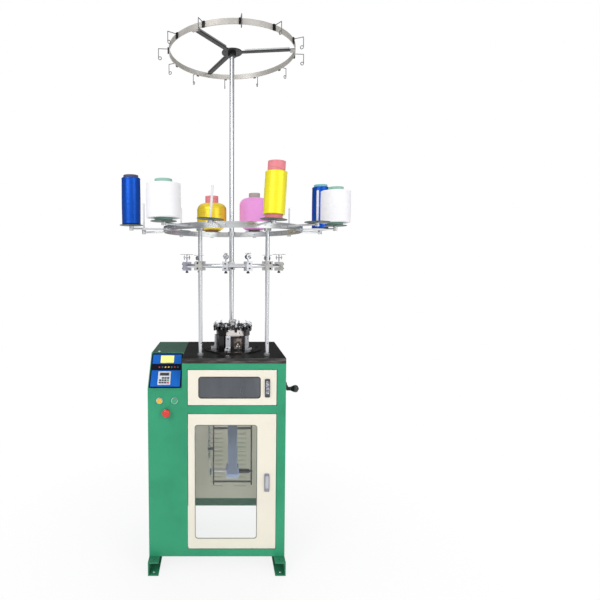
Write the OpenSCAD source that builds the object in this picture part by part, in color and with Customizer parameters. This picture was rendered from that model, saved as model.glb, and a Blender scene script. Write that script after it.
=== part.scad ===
// Circular knitting machine for narrow tubular fabric.
// A needle cylinder turns in a fixed cam housing on top of a sheet metal cabinet. A creel of cone
// holders stands on two posts and a pole above it, and a take-down frame hangs from the cylinder.
// Millimetres, +Z up, front towards -Y. The origin is the middle of the four floor bolts.

/* [Cabinet] */
// Width of the cabinet
cab_w = 654; // [640:1:680]
// Depth of the cabinet
cab_d = 500; // [496:1:530]
// Thickness of the cabinet sheet
sheet = 2; // [1.5:0.5:3]
// Height of the foot runners
runner_h = 66; // [56:1:80]
// Width of the foot runners
runner_w = 50; // [44:1:60]
// Thickness of the runner walls
runner_wall = 5; // [4:0.5:7]
// Length of runner that stands out at each end of the cabinet
runner_out = 50; // [45:1:60]
// Radius of the floor bolt holes
floor_bolt_r = 6; // [5:0.5:8]
// Height of the table's top face over the floor
table_z = 1035; // [1020:1:1060]
// Thickness of the table
table_t = 25; // [20:1:30]
// Width of the table
table_w = 491; // [482:1:500]
// Depth of the table beyond the cabinet's back
table_over = 4; // [2:1:10]

/* [Doors] */
// Height of the rail over the upper door
top_rail = 31; // [26:1:36]
// Height of the rail between the doors
mid_rail = 44; // [40:1:60]
// Height of the rail under the lower door
bottom_rail = 40; // [34:1:50]
// Width of the stile right of the doors
stile_w = 45; // [40:1:50]
// Width of both doors
door_w = 419; // [400:1:425]
// Height of the upper door
upper_door_h = 168; // [160:1:180]
// Depth of the door pans
door_t = 16; // [14:1:20]
// Gap between a door and its frame
door_gap = 3; // [2.5:0.5:4]
// Distance of the hinge axis from the door's front and left faces
pivot_in = 6; // [5.5:0.5:6.5]
// Radius of the hinge pins
hinge_pin_r = 2.5; // [2:0.5:3]
// Thickness of the window panes
pane_t = 4; // [3:0.5:5]
// Corner radius of the window openings
window_r = 13; // [8:1:16]

/* [Latches and buttons] */
// Width of a latch plate
latch_w = 24; // [20:1:28]
// Height of a latch plate
latch_h = 88; // [80:1:96]
// Distance of the latches from the door's right edge
latch_in = 43; // [38:1:50]
// Radius of the latch spindles
spindle_r = 4; // [3:0.5:5]
// Radius of the push button caps
button_r = 10; // [9:0.5:11]
// Travel of the push buttons
button_travel = 3; // [2:0.5:4]
// Radius of the stop button's mushroom head
stop_r = 19; // [17:0.5:21]
// Travel of the stop button
stop_travel = 5; // [4:0.5:6]

/* [Console] */
// Rise and depth of the slanted console front
console_rise = 146; // [136:1:156]
// Thickness of the console's black panel
panel_t = 4; // [3:0.5:6]

/* [Knitting head] */
// Radius of the needle cylinder
cyl_r = 64; // [60:1:66]
// Radius of the cylinder's bore
cyl_bore_r = 54; // [50:1:55]
// Number of needles
needle_count = 72; // [48:4:80]
// Width of a needle slot
slot_w = 1.8; // [1.6:0.1:2.2]
// Depth of a needle slot
slot_deep = 4; // [3:0.5:4.5]
// Outer radius of the cam housing
housing_r = 85; // [82:1:88]
// Height of the dark cam housing
housing_h = 72; // [66:1:76]
// Height of the bright cam ring
cam_ring_h = 33; // [31:1:38]
// Radius of the bed plate
bed_r = 149; // [140:1:155]
// Thickness of the bed plate
bed_t = 8; // [6:1:10]
// Outer radius of the feeder ring
feeder_ring_r = 90; // [88:1:92]
// Number of yarn feeders
feeder_count = 12; // [8:1:14]

/* [Drive] */
// Module of the gear teeth
gear_module = 3; // [2.8:0.1:3.1]
// Teeth on the crown gear
crown_teeth = 80; // [80:4:84]
// Teeth on each pinion
pinion_teeth = 20; // [18:1:22]
// Face width of the gears
gear_face = 12; // [10:1:13]
// Height of the drive shafts over the floor
shaft_z = 844; // [838:1:850]
// Radius of the drive shafts
shaft_r = 9; // [8:0.5:11]
// Radius of the driven belt pulley
driven_r = 60; // [54:1:66]
// Radius of the motor pulley
motor_pulley_r = 30; // [26:1:34]
// Radius of the motor body
motor_r = 62; // [58:1:66]
// Length of the motor body
motor_l = 150; // [140:1:156]
// Length of the hand crank's arm
crank_l = 70; // [60:1:80]

/* [Take-down] */
// Distance of the side bars from the cylinder's axis
bar_x = 100; // [96:1:102]
// Height of the take-up shaft over the floor
takeup_z = 383; // [370:1:400]
// Radius of the fabric roll
roll_r = 37; // [25:1:45]
// Width of the flat fabric tube
fabric_w = 50; // [40:1:60]

/* [Creel] */
// Radius of the circle that the posts and the pole stand on
post_circle_r = 236; // [230:1:240]
// Distance of each front post from the head's middle plane
post_x = 161; // [155:1:170]
// Radius of the front posts
post_r = 9.5; // [8.5:0.5:10.5]
// Radius of the rear pole
pole_r = 12.5; // [11:0.5:14]
// Height of the tension ring over the floor
tension_z = 1469; // [1440:1:1490]
// Radius of the tension ring's tube
tension_tube_r = 9.5; // [7:0.5:10]
// Outer radius of the creel ring
creel_r = 353; // [340:1:365]
// Height of the creel ring's lower edge over the floor
creel_z = 1637; // [1625:1:1650]
// Height of the creel ring's band
creel_band_h = 28; // [24:1:32]
// Thickness of the creel ring's band
creel_band_t = 5; // [4:0.5:7]
// Distance of the cone holders from the cylinder's axis
holder_r = 512; // [500:1:530]
// Radius of the holder arms
arm_r = 5; // [4:0.5:6]
// Radius of the cone discs
disc_r = 57; // [50:1:62]
// Height of the cone pins over their discs
pin_h = 140; // [120:1:160]
// Radius of the cone pins
pin_r = 5; // [4:0.5:6]

/* [Yarn guide ring] */
// Outer radius of the top ring
top_r = 344; // [330:1:355]
// Height of the top ring's lower edge over the floor
top_z = 2620; // [2550:5:2700]
// Height of the top ring's band
top_band_h = 28; // [24:1:34]
// Thickness of the top ring's band
top_band_t = 4; // [3:0.5:6]
// Radius of the hub disc
hub_r = 56; // [50:1:62]
// Number of wire hooks
hook_count = 12; // [8:1:16]
// Radius of the hook wire
hook_wire_r = 2; // [1.5:0.1:2.3]

/* [Hidden] */

fit_gap = 0.05;      // radial clearance of a running fit
loose_gap = 0.3;     // clearance between parts that pass each other
eps = 0.01;

front_y = -cab_d / 2;
body_top = table_z - table_t;
table_x0 = cab_w / 2 - table_w;
head_x = cab_w / 2 - table_w / 2;
console_z0 = table_z - console_rise - 9;
console_w = cab_w - table_w;

// door places
door_x0 = cab_w / 2 - stile_w - door_w;
upper_door_z0 = body_top - top_rail - upper_door_h;
lower_door_z0 = runner_h + bottom_rail;
lower_door_h = upper_door_z0 - mid_rail - lower_door_z0;
// control panel
slope_l = console_rise * sqrt(2);
panel_margin = 5;
field_t = 0.8;
// blue fields as [foot, length], in shares of the slope's length
panel_fields = [[0.048, 0.436], [0.668, 0.262]];
// keypad's display and keys as [x, y, width, height] in shares of the pad, and how far they stand out
pad_fields = [[0.13, 0.65, 0.74, 0.24, 1], [0.2, 0.446, 0.25, 0.12, 1.2], [0.54, 0.446, 0.25, 0.12, 1.2],
  [0.1, 0.257, 0.16, 0.11, 1.2], [0.31, 0.257, 0.16, 0.11, 1.2], [0.52, 0.257, 0.16, 0.11, 1.2],
  [0.74, 0.257, 0.16, 0.11, 1.2], [0.16, 0.068, 0.28, 0.12, 1.2], [0.56, 0.068, 0.28, 0.12, 1.2]];
// buttons as [x, z, neck radius, outer radius of the bezel], on the front left of the doors
button_field = door_x0 + cab_w / 2;
buttons = [[0.295 * button_field - cab_w / 2, table_z - 202, 13, 15],
  [0.668 * button_field - cab_w / 2, table_z - 202, 13, 15], [0.468 * button_field - cab_w / 2, table_z - 258, 12, 17]];
stop_stem_r = 9;
stop_out = 14;
// windows as [left margin, right margin, bottom margin, top margin]
upper_window_margins = [51, 76, 33, 33];
lower_window_margins = [33, 91, 51, 53];
pane_lap = 9;
frame_flange = 20;
hinge_block = 9;
hinge_pin_reach = 12;
latch_x = door_w - latch_in;
latch_up = 16;
lever_h = 62;

// knitting head heights
housing_z = table_z + bed_t;
cam_ring_z = housing_z + housing_h;
feeder_z = cam_ring_z + cam_ring_h;
cyl_top = feeder_z + 8;
feeder_ring_t = 5;
// blocks on the cam ring as [angle, width]; the first goes on down the housing
cam_blocks = [[232.5, 32], [322, 30]];
cam_block_out = 12;
butt_out = 5;
bracket_angles = [55, 112, 185, 254, 322];

// drive places
pinion_r = gear_module * pinion_teeth / 2;
crown_r = gear_module * crown_teeth / 2;
gear_add = 0.8 * gear_module;
gear_ded = 1.1 * gear_module;
mesh_z = shaft_z + pinion_r;
crown_root_z = mesh_z + gear_ded;
crown_t = 13;
hanger_t = 12;
pulley_w = 20;
motor_y = 70;
motor_z = 560;
pulley_x = -215;
hanger_x = [-150, -190, 154];
wall_x = cab_w / 2 - sheet - head_x;
crank_wall = cab_w / 2 + 28;
crank_t = 10;

// take-down places
bar_z0 = takeup_z - 72;
cross_rod_z = 610;
rod_arm = 38;
fabric_t = 8;
takeup_r = 6;
pawl_x = 122;
pawl_rod_r = 5;
rod_guide_z0 = 500;
rod_guide_z1 = 640;
ratchet_x = -109;
lever_x = -118;

// creel places
post_y = -sqrt(pow(post_circle_r, 2) - pow(post_x, 2));
post_points = [[-post_x, post_y], [post_x, post_y]];
pole_y = post_circle_r;
post_angle = atan2(-post_y, post_x);
disc_z = creel_z + creel_band_h + 1;
disc_t = 3;
pin_shoulder = 2;
// holders as [angle, lean to the right, height of the disc over or under the usual]
holders = [[19.5, 0, 0], [48, 0, 4], [73.5, 0, 10], [103, 0, 7], [125.5, 0, 10], [160.5, 0, 4],
  [192, 0, 0], [233, 0, -8], [258, 3.8, -8], [287.5, 2.9, -8], [314.5, 0, -8], [351, 0, 0]];
tension_angles = [36, 140, 186, 260.5, 286, 352];
spoke_angles = [-6, 114, 234];
hook_phase = 5;
stand_angles = [90, 180 + post_angle, 360 - post_angle];
// yarn packages as [outer radius, tube radius, yarn height, tube below, tube above]
slim_blue = [45.5, 36, 226, 1, 12];
slim_yellow = [45.5, 36.5, 179, 20, 41];
wide_white = [74, 37.5, 156, 12, 18];
short_white = [74, 37.5, 146, 11, 18];
cone_pink = [91, 34, 182, 31, 18];
cone_gold = [90, 40, 144, 30, 44];
tube_wall = 3;
// packages on their holders as [holder, package, colour]
cylinder_packages = [[0, slim_blue, "mediumblue"], [6, slim_blue, "mediumblue"], [9, slim_yellow, "yellow"],
  [7, short_white, "white"], [11, wide_white, "white"]];
cone_packages = [[2, cone_pink, "hotpink"], [3, cone_gold, "goldenrod"]];

// A cube given by its lowest corner and its size
module box(corner, size) {
  translate(corner) cube(size);
}

// Points of a rectangle with round corners, lowest corner at the origin
function round_rect(w, h, r, steps = 5) = [
  for (corner = [0:3])
    let (cx = (corner == 1 || corner == 2) ? r : w - r, cy = corner < 2 ? h - r : r)
      for (i = [0:steps]) [cx + r * cos(90 * (corner + i / steps)), cy + r * sin(90 * (corner + i / steps))]
];

// A plate in the XZ plane with round corners, its front face at y
module round_plate(x, y, z, w, t, h, r) {
  translate([x, y + t, z]) rotate([90, 0, 0]) linear_extrude(t) polygon(round_rect(w, h, r));
}

// A cylinder along +Y from y
module rod_y(x, y, z, r, l) {
  translate([x, y, z]) rotate([-90, 0, 0]) cylinder(h = l, r = r, $fn = 48);
}

// A cylinder along +X from x
module rod_x(x, y, z, r, l) {
  translate([x, y, z]) rotate([0, 90, 0]) cylinder(h = l, r = r, $fn = 48);
}

// A ring about +Z
module ring(z, h, outer, inner) {
  translate([0, 0, z]) difference() {
    cylinder(h = h, r = outer, $fn = 96);
    translate([0, 0, -1]) cylinder(h = h + 2, r = inner, $fn = 96);
  }
}

// Everything on the cylinder's axis is drawn about X 0 and moved here
module at_head() {
  translate([head_x, 0, 0]) children();
}

// Foot runners: a channel with a bolt hole through both flanges at each end
module runner() {
  run_l = cab_d + 2 * runner_out;
  difference() {
    box([0, -run_l / 2, 0], [runner_w, run_l, runner_h]);
    box([runner_wall, -run_l / 2 - 1, runner_wall], [runner_w, run_l + 2, runner_h - 2 * runner_wall]);
    for (side = [-1, 1])
      translate([runner_w / 2, side * (run_l / 2 - runner_out / 2), -1])
        cylinder(h = runner_h + 2, r = floor_bolt_r, $fn = 48);
  }
}

module runner_left() {
  color("seagreen") translate([-cab_w / 2, 0, 0]) runner();
}

module runner_right() {
  color("seagreen") translate([cab_w / 2, 0, 0]) mirror([1, 0, 0]) runner();
}

// Folded return behind one door opening
module door_return(z0, h) {
  translate([door_x0 - door_gap, front_y, z0 - door_gap]) difference() {
    box([-sheet, 0, -sheet], [door_w + 2 * door_gap + 2 * sheet, frame_flange, h + 2 * door_gap + 2 * sheet]);
    box([0, -1, 0], [door_w + 2 * door_gap, frame_flange + 2, h + 2 * door_gap]);
  }
}

// Blocks on the frame that hold the hinge pins of one door
module hinge_seats(z0, h) {
  for (z = [z0 - door_gap - sheet - hinge_block, z0 + h + door_gap + sheet])
    difference() {
      box([door_x0, front_y + sheet, z], [2 * pivot_in, 2 * pivot_in - sheet, hinge_block]);
      translate([door_x0 + pivot_in, front_y + pivot_in, z - 1])
        cylinder(h = hinge_block + 2, r = hinge_pin_r, $fn = 32);
    }
}

// Cabinet: folded sheet, open below, with a raised part under the table
module cabinet_shell() {
  low_h = console_z0 - runner_h;
  rear_w = table_w - 2 * 30;
  color("mediumseagreen") difference() {
    union() {
      difference() {
        union() {
          box([-cab_w / 2, front_y, runner_h], [cab_w, cab_d, low_h]);
          box([table_x0, front_y, console_z0 - 1], [table_w, cab_d, body_top - console_z0 + 1]);
        }
        box([-cab_w / 2 + sheet, front_y + sheet, runner_h - 1], [cab_w - 2 * sheet, cab_d - 2 * sheet, low_h + 2]);
        box([table_x0 + sheet, front_y + sheet, console_z0 - 2],
          [table_w - 2 * sheet, cab_d - 2 * sheet, body_top - console_z0 + 3]);
      }
      door_return(upper_door_z0, upper_door_h);
      door_return(lower_door_z0, lower_door_h);
      hinge_seats(upper_door_z0, upper_door_h);
      hinge_seats(lower_door_z0, lower_door_h);
      // flange that the table lies on
      difference() {
        box([table_x0 + 1, front_y + 1, body_top - sheet], [table_w - 2, cab_d - 2, sheet]);
        box([table_x0 + 22, front_y + 22, body_top - sheet - 1], [table_w - 44, cab_d - 44, sheet + 2]);
      }
      // flanges that rest on the runners
      for (side = [-1, 1])
        box([side * (cab_w / 2 - runner_w / 2 - 1) - runner_w / 2 + 1, front_y + 1, runner_h], [runner_w - 2, cab_d - 2, sheet]);
    }
    // door openings
    for (door = [[upper_door_z0, upper_door_h], [lower_door_z0, lower_door_h]]) {
      box([door_x0 - door_gap, front_y - 1, door[0] - door_gap], [door_w + 2 * door_gap, sheet + 2, door[1] + 2 * door_gap]);
      // holes for the hinge pins in the returns
      translate([door_x0 + pivot_in, front_y + pivot_in, door[0] - door_gap - sheet - hinge_block - 1])
        cylinder(h = door[1] + 2 * (door_gap + sheet + hinge_block + 1), r = hinge_pin_r, $fn = 32);
    }
    // opening behind the back panel
    box([table_x0 + 30, cab_d / 2 - sheet - 1, runner_h + 44], [rear_w, sheet + 2, body_top - runner_h - 94]);
    // holes of the buttons and of the crank shaft
    for (b = buttons) rod_y(b[0], front_y - 1, b[1], b[2], sheet + 2);
    rod_x(cab_w / 2 - sheet - 1, 0, shaft_z, shaft_r + 3, sheet + 2);
  }
}

// Back panel with two columns of louvres
module back_panel() {
  z0 = runner_h + 32;
  h = body_top - runner_h - 70;
  x0 = table_x0 + 18;
  louvre_w = 71;
  louvre_x = [head_x - 120, head_x + 14];
  louvre_z0 = 176;
  louvre_pitch = 26;
  louvre_count = 17;
  color("darkkhaki") translate([0, cab_d / 2, 0]) difference() {
    union() {
      box([x0, 0, z0], [table_w - 36, 1.5, h]);
      for (x = louvre_x, i = [0:louvre_count - 1])
        translate([x, 1.5, louvre_z0 + i * louvre_pitch]) rotate([90, 0, 90]) linear_extrude(louvre_w)
          polygon([[-0.5, 1], [-0.5, 16], [0.5, 16], [8, 5], [8, 1]]);
    }
    for (x = louvre_x, i = [0:louvre_count - 1])
      translate([x + 1, 0, louvre_z0 + i * louvre_pitch]) rotate([90, 0, 90]) linear_extrude(louvre_w - 2)
        polygon([[-1, 4.5], [-1, 14], [1.4, 14], [6.8, 5], [6.8, 0], [2.5, 0], [2.5, 4.5]]);
  }
}

module table_top() {
  color("dimgray") difference() {
    box([table_x0, front_y, body_top], [table_w, cab_d + table_over, table_t]);
    at_head() {
      translate([0, 0, body_top - 1]) cylinder(h = table_t + 2, r = cyl_r + 16, $fn = 96);
      for (p = post_points) translate([p[0], p[1], body_top - 1]) cylinder(h = table_t + 2, r = post_r, $fn = 48);
      translate([0, pole_y, body_top - 1]) cylinder(h = table_t + 2, r = pole_r, $fn = 48);
    }
  }
}

// Slanted control console at the left
module console_profile(inset) {
  polygon([[front_y + inset, console_z0 - (inset > 0 ? 1 : 0)], [front_y + inset, console_z0 + 9],
    [front_y + console_rise + inset * 0.41, table_z - inset], [cab_d / 2 - inset, table_z - inset],
    [cab_d / 2 - inset, console_z0 - (inset > 0 ? 1 : 0)]]);
}

// Local frame of the slanted face: X across, Y up the slope, Z outwards
module on_slope() {
  translate([-cab_w / 2, front_y, console_z0 + 9]) rotate([45, 0, 0]) children();
}

// Place on the slope, from shares of the console's width and of the slope's length
function on_panel(x, y) = [x * console_w, y * slope_l];

module console_housing() {
  color("seagreen") difference() {
    translate([-cab_w / 2, 0, 0]) rotate([90, 0, 90]) linear_extrude(console_w) console_profile(0);
    translate([-cab_w / 2 + sheet, 0, 0]) rotate([90, 0, 90]) linear_extrude(console_w - 2 * sheet) console_profile(sheet);
    on_slope() box([12, 12, -20], [console_w - 24, slope_l - 24, 30]);
  }
}

// Black panel plate with its box behind and its two blue fields
module console_panel() {
  on_slope() {
    color("midnightblue") {
      translate([panel_margin, panel_margin, 0]) linear_extrude(panel_t)
        polygon(round_rect(console_w - 2 * panel_margin, slope_l - 2 * panel_margin, 5));
      box([13, 13, -15], [console_w - 26, slope_l - 26, 15]);
    }
    color("royalblue") for (field = panel_fields)
      box([11, field[0] * slope_l, panel_t], [console_w - 22, field[1] * slope_l, field_t]);
  }
}

module lcd_screen() {
  at = on_panel(0.307, 0.688);
  size = on_panel(0.405, 0.213);
  color("khaki") on_slope() box([at[0], at[1], panel_t + field_t], [size[0], size[1], 1.5]);
}

module indicator_lamps() {
  color("gold") on_slope() for (i = [0:6]) {
    at = on_panel(0.288 + 0.092 * i, 0.576);
    translate([at[0], at[1], panel_t]) cylinder(h = 2, r = 0.0245 * console_w, $fn = 24);
  }
}

// Small drive keypad with a display and keys
module drive_keypad() {
  at = on_panel(0.276, 0.087);
  size = on_panel(0.374, 0.358);
  thick = 5;
  color("gainsboro") on_slope() translate([at[0], at[1], panel_t + field_t]) {
    linear_extrude(thick) polygon(round_rect(size[0], size[1], 4));
    for (k = pad_fields) box([k[0] * size[0], k[1] * size[1], thick], [k[2] * size[0], k[3] * size[1], k[4]]);
  }
}

// Bezels of the two buttons and of the stop button

module button_bezels() {
  color("silver") for (i = [0:2]) {
    b = buttons[i];
    bore = i < 2 ? button_r : stop_stem_r;
    difference() {
      union() {
        rod_y(b[0], front_y - 5, b[1], b[3], 5);
        rod_y(b[0], front_y - 1, b[1], b[2], 34);
      }
      rod_y(b[0], front_y - 6, b[1], bore + fit_gap, 50);
    }
  }
}

// Turned shape along +Y, from a profile of [radius, depth] points
module turned_y(x, y, z, profile) {
  translate([x, y, z]) rotate([-90, 0, 0]) rotate_extrude($fn = 64) polygon(profile);
}

module push_button(b) {
  turned_y(b[0], front_y - 9, b[1], [[0, 0], [button_r - 1.5, 0], [button_r, 1.5], [button_r, 26], [0, 26]]);
}

module button_yellow() {
  color("gold") push_button(buttons[0]);
}

module button_green() {
  color("limegreen") push_button(buttons[1]);
}

module stop_stem() {
  color("silver") rod_y(buttons[2][0], front_y - stop_out, buttons[2][1], stop_stem_r, stop_out + 22);
}

module stop_head() {
  color("red") turned_y(buttons[2][0], front_y - stop_out - loose_gap - 15, buttons[2][1],
    [[0, 0], [stop_r * 0.62, 0.8], [stop_r - 3, 3], [stop_r, 7], [stop_r, 10], [stop_r - 3, 12],
      [stop_stem_r + 2, 15], [0, 15]]);
}

// Doors: a folded pan with a window opening and a block with a blind bore at each hinge corner
module door_pan(h, margins) {
  difference() {
    union() {
      difference() {
        box([0, 0, 0], [door_w, door_t, h]);
        box([sheet, sheet, sheet], [door_w - 2 * sheet, door_t, h - 2 * sheet]);
      }
      for (z = [1, h - hinge_pin_reach - 3])
        box([1, 1, z], [2 * pivot_in - 1, 2 * pivot_in - 1, hinge_pin_reach + 2]);
    }
    round_plate(margins[0], -1, margins[2], door_w - margins[0] - margins[1], sheet + 2,
      h - margins[2] - margins[3], window_r);
    for (z = [-1, h - hinge_pin_reach]) translate([pivot_in, pivot_in, z])
      cylinder(h = hinge_pin_reach + 1, r = hinge_pin_r + fit_gap, $fn = 32);
    rod_y(latch_x, -1, latch_bottom(h) + latch_h - latch_up, spindle_r + 4, sheet + 2);
  }
}

// Height of a latch plate's lower edge on a door of height h
function latch_bottom(h) = h > 2 * upper_door_h ? 0.43 * h : (h - latch_h) / 2 - 2;

module door_pane(h, margins) {
  round_plate(margins[0] - pane_lap, sheet, margins[2] - pane_lap, door_w - margins[0] - margins[1] + 2 * pane_lap,
    pane_t, h - margins[2] - margins[3] + 2 * pane_lap, window_r);
}

// Latch plate with the bush that its spindle turns in
module latch_plate(h) {
  difference() {
    union() {
      round_plate(latch_x - latch_w / 2, -4, latch_bottom(h), latch_w, 4, latch_h, 4);
      rod_y(latch_x, -1, latch_bottom(h) + latch_h - latch_up, spindle_r + 4, 17);
    }
    rod_y(latch_x, -6, latch_bottom(h) + latch_h - latch_up, spindle_r + fit_gap, 30);
  }
}

module latch_lever(h) {
  pivot_z = latch_bottom(h) + latch_h - latch_up;
  rod_y(latch_x, -12, pivot_z, spindle_r, 38);
  rod_y(latch_x, -12, pivot_z, 8.5, 12 - 4 - loose_gap);
  round_plate(latch_x - 8, -12, pivot_z - lever_h + 8, 16, 6, lever_h, 5);
  // cam behind the door, short of the frame
  round_plate(latch_x - 8, door_t + 4, pivot_z - 7, latch_in, 3, 14, 4);
}

module at_upper_door() {
  translate([door_x0, front_y, upper_door_z0]) children();
}

module at_lower_door() {
  translate([door_x0, front_y, lower_door_z0]) children();
}

module upper_door() {
  color("antiquewhite") at_upper_door() door_pan(upper_door_h, upper_window_margins);
}

module lower_door() {
  color("antiquewhite") at_lower_door() door_pan(lower_door_h, lower_window_margins);
}

module upper_window() {
  color("darkslategray", 0.6) at_upper_door() door_pane(upper_door_h, upper_window_margins);
}

module lower_window() {
  color("lightcyan", 0.3) at_lower_door() door_pane(lower_door_h, lower_window_margins);
}

module upper_latch_plate() {
  color("dimgray") at_upper_door() latch_plate(upper_door_h);
}

module lower_latch_plate() {
  color("slategray") at_lower_door() latch_plate(lower_door_h);
}

module upper_latch_lever() {
  color("silver") at_upper_door() latch_lever(upper_door_h);
}

module lower_latch_lever() {
  color("silver") at_lower_door() latch_lever(lower_door_h);
}

// Hinge pins: two for each door, fixed in the frame
module hinge_pins() {
  pin_l = hinge_block + sheet + door_gap + hinge_pin_reach - 1;
  color("silver") for (door = [[upper_door_z0, upper_door_h], [lower_door_z0, lower_door_h]])
    for (z = [door[0] - door_gap - sheet - hinge_block, door[0] + door[1] - hinge_pin_reach + 1])
      translate([door_x0 + pivot_in, front_y + pivot_in, z]) cylinder(h = pin_l, r = hinge_pin_r, $fn = 32);
}

// Bed plate of the knitting head, with its fixing holes
module bed_plate() {
  color("dimgray") at_head() difference() {
    ring(table_z, bed_t, bed_r, cyl_r + 7);
    for (i = [0:5]) rotate(15 + 60 * i) translate([bed_r - 16, 0, table_z - 1]) cylinder(h = bed_t + 2, r = 4, $fn = 24);
  }
}

// Bearing in the table that carries the turning tube
module head_bearing() {
  color("silver") at_head() ring(body_top + 1, 13, cyl_r + 16, cyl_r + fit_gap);
}

// Fixed housing round the cylinder, with the groove that the needle butts run in
module cam_housing() {
  groove_z = housing_z + 18;
  groove_h = 34;
  color("dimgray") at_head() difference() {
    rotate_extrude($fn = 96) polygon([[cyl_r + loose_gap, housing_z], [housing_r, housing_z],
      [housing_r, cam_ring_z], [cyl_r + loose_gap, cam_ring_z], [cyl_r + loose_gap, groove_z + groove_h],
      [cyl_r + butt_out + 2, groove_z + groove_h], [cyl_r + butt_out + 2, groove_z],
      [cyl_r + loose_gap, groove_z]]);
    // window at the front through which the cams are set
    rotate(-72) box([housing_r - 8, -23, housing_z + 8], [20, 46, housing_h - 18]);
    rotate(-20) box([housing_r - 6, -9, housing_z + 10], [20, 18, housing_h - 20]);
    rotate(75) box([housing_r - 8, -16, housing_z + 12], [20, 32, housing_h - 24]);
    rotate(150) box([housing_r - 8, -16, housing_z + 12], [20, 32, housing_h - 24]);
  }
  // lower half of the first block
  color("dimgray") at_head() rotate(cam_blocks[0][0])
    box([housing_r - 4, -cam_blocks[0][1] / 2, housing_z + 1], [cam_block_out + 4, cam_blocks[0][1], housing_h - 1 - loose_gap]);
}

// Bright ring over the housing
module cam_ring() {
  color("gainsboro") at_head() {
    difference() {
      rotate_extrude($fn = 96) polygon([[cyl_r + loose_gap, cam_ring_z], [housing_r - 1, cam_ring_z],
        [housing_r - 1, cam_ring_z + 3], [housing_r, cam_ring_z + 4], [housing_r, feeder_z - 3],
        [housing_r - 2, feeder_z], [cyl_r + loose_gap, feeder_z]]);
      for (a = [-68, -56, 60, 160]) rotate(a) translate([housing_r - 6, 0, cam_ring_z + cam_ring_h / 2])
        rotate([0, 90, 0]) cylinder(h = 10, r = 2.6, $fn = 24);
    }
    for (b = cam_blocks) rotate(b[0])
      box([housing_r - 4, -b[1] / 2, cam_ring_z + 1], [cam_block_out + 4, b[1], cam_ring_h - 2]);
  }
}

// L brackets that clamp the cam ring's housing to the bed plate
module head_bracket() {
  foot_l = 27;
  bracket_w = 24;
  difference() {
    translate([housing_r + 0.3, bracket_w / 2, housing_z]) rotate([90, 0, 0]) linear_extrude(bracket_w)
      polygon([[0, 0], [foot_l, 0], [foot_l, 9], [foot_l - 3, 12], [13, 12], [9, 18], [8, housing_h - 4], [6, housing_h], [0, housing_h]]);
    translate([housing_r + 21, 0, housing_z - 1]) cylinder(h = 20, r = 3.5, $fn = 32);
    translate([housing_r - 1, 0, housing_z + housing_h - 14]) rotate([0, 90, 0]) cylinder(h = 14, r = 4, $fn = 32);
  }
}

module head_brackets() {
  color("silver") at_head() for (a = bracket_angles) rotate(a) head_bracket();
}

// Turning cylinder with a slot for every needle
module needle_cylinder() {
  slot_z = housing_z + 8;
  color("lightsteelblue") at_head() difference() {
    rotate_extrude($fn = 96) polygon([[cyl_bore_r, crown_root_z], [cyl_r, crown_root_z],
      [cyl_r, body_top + 14 + loose_gap], [cyl_r + 6, body_top + 14 + loose_gap], [cyl_r + 6, table_z + bed_t - 1],
      [cyl_r, table_z + bed_t - 1], [cyl_r, cyl_top - 1.5], [cyl_r - 1.5, cyl_top], [cyl_bore_r + 2, cyl_top],
      [cyl_bore_r, cyl_top - 3]]);
    for (i = [0:needle_count - 1]) rotate(i * 360 / needle_count)
      box([cyl_r - slot_deep, -slot_w / 2, slot_z], [slot_deep + 2, slot_w, cyl_top - slot_z + 1]);
  }
}

// One latch needle in the XZ plane: stem, butt and hook
module needle(lift) {
  stem = slot_deep - 0.8;
  stem_z = housing_z + 16 + lift;
  butt_z = housing_z + 26 + lift;
  tip_z = cyl_top + 3 + lift;
  hook_r = 2.2;
  needle_t = slot_w - 0.6;
  translate([cyl_r - slot_deep + 0.3, needle_t / 2, 0]) rotate([90, 0, 0]) linear_extrude(needle_t)
    polygon(concat([[0, stem_z], [stem, stem_z], [stem, butt_z], [stem + butt_out, butt_z + 1], [stem + butt_out, butt_z + 7],
      [stem, butt_z + 8], [stem, tip_z - 14], [1.4, tip_z - 9], [1.4, tip_z]],
      [for (a = [150:-30:-30]) [1.4 + hook_r - 0.9 + (hook_r - 0.9) * cos(a), tip_z + (hook_r - 0.9) * sin(a)]],
      [for (a = [-30:30:180]) [1.4 + hook_r - 0.9 + hook_r * cos(a), tip_z + hook_r * sin(a)]],
      [[0.2, tip_z - 9]]));
}

// Needles, raised where a yarn feeder lays its yarn
module needles() {
  raise = 5;
  color("white") at_head() for (i = [0:needle_count - 1]) {
    a = i * 360 / needle_count;
    rotate(a) needle(raise * (1 + cos(4 * a)) / 2);
  }
}

// Ring that carries the feeders
module feeder_ring() {
  color("black") at_head() rotate_extrude($fn = 96) polygon([[housing_r - 9, feeder_z], [feeder_ring_r - 6, feeder_z],
    [feeder_ring_r, feeder_z + 3], [feeder_ring_r, feeder_z + feeder_ring_t], [housing_r - 9, feeder_z + feeder_ring_t]]);
}

// Yarn feeder: a clamp block with a lug outside the ring, and a finger that ends over the needles
module feeder() {
  z = feeder_z + feeder_ring_t;
  block_h = 9;
  lug_drop = 12;
  box([housing_r + 1, -7, z], [15, 14, block_h]);
  box([feeder_ring_r + 1.5, -6, feeder_z - lug_drop], [8, 12, lug_drop + feeder_ring_t + block_h - 1]);
  difference() {
    translate([0, 1.5, 0]) rotate([90, 0, 0]) linear_extrude(3)
      polygon([[housing_r + 8, z + 8], [housing_r + 8, z + 13], [housing_r + 2, z + 15], [cyl_r + 8, z + 11],
        [cyl_r + 3, z + 4], [cyl_r + 7, z + 3], [housing_r - 4, z + 7], [housing_r + 2, z + 7]]);
    translate([cyl_r + 9, -3, z + 7.5]) rotate([-90, 0, 0]) cylinder(h = 6, r = 1.6, $fn = 24);
  }
  translate([housing_r + 11, 0, z + block_h]) cylinder(h = 5, r = 4, $fn = 24);
}

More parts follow.
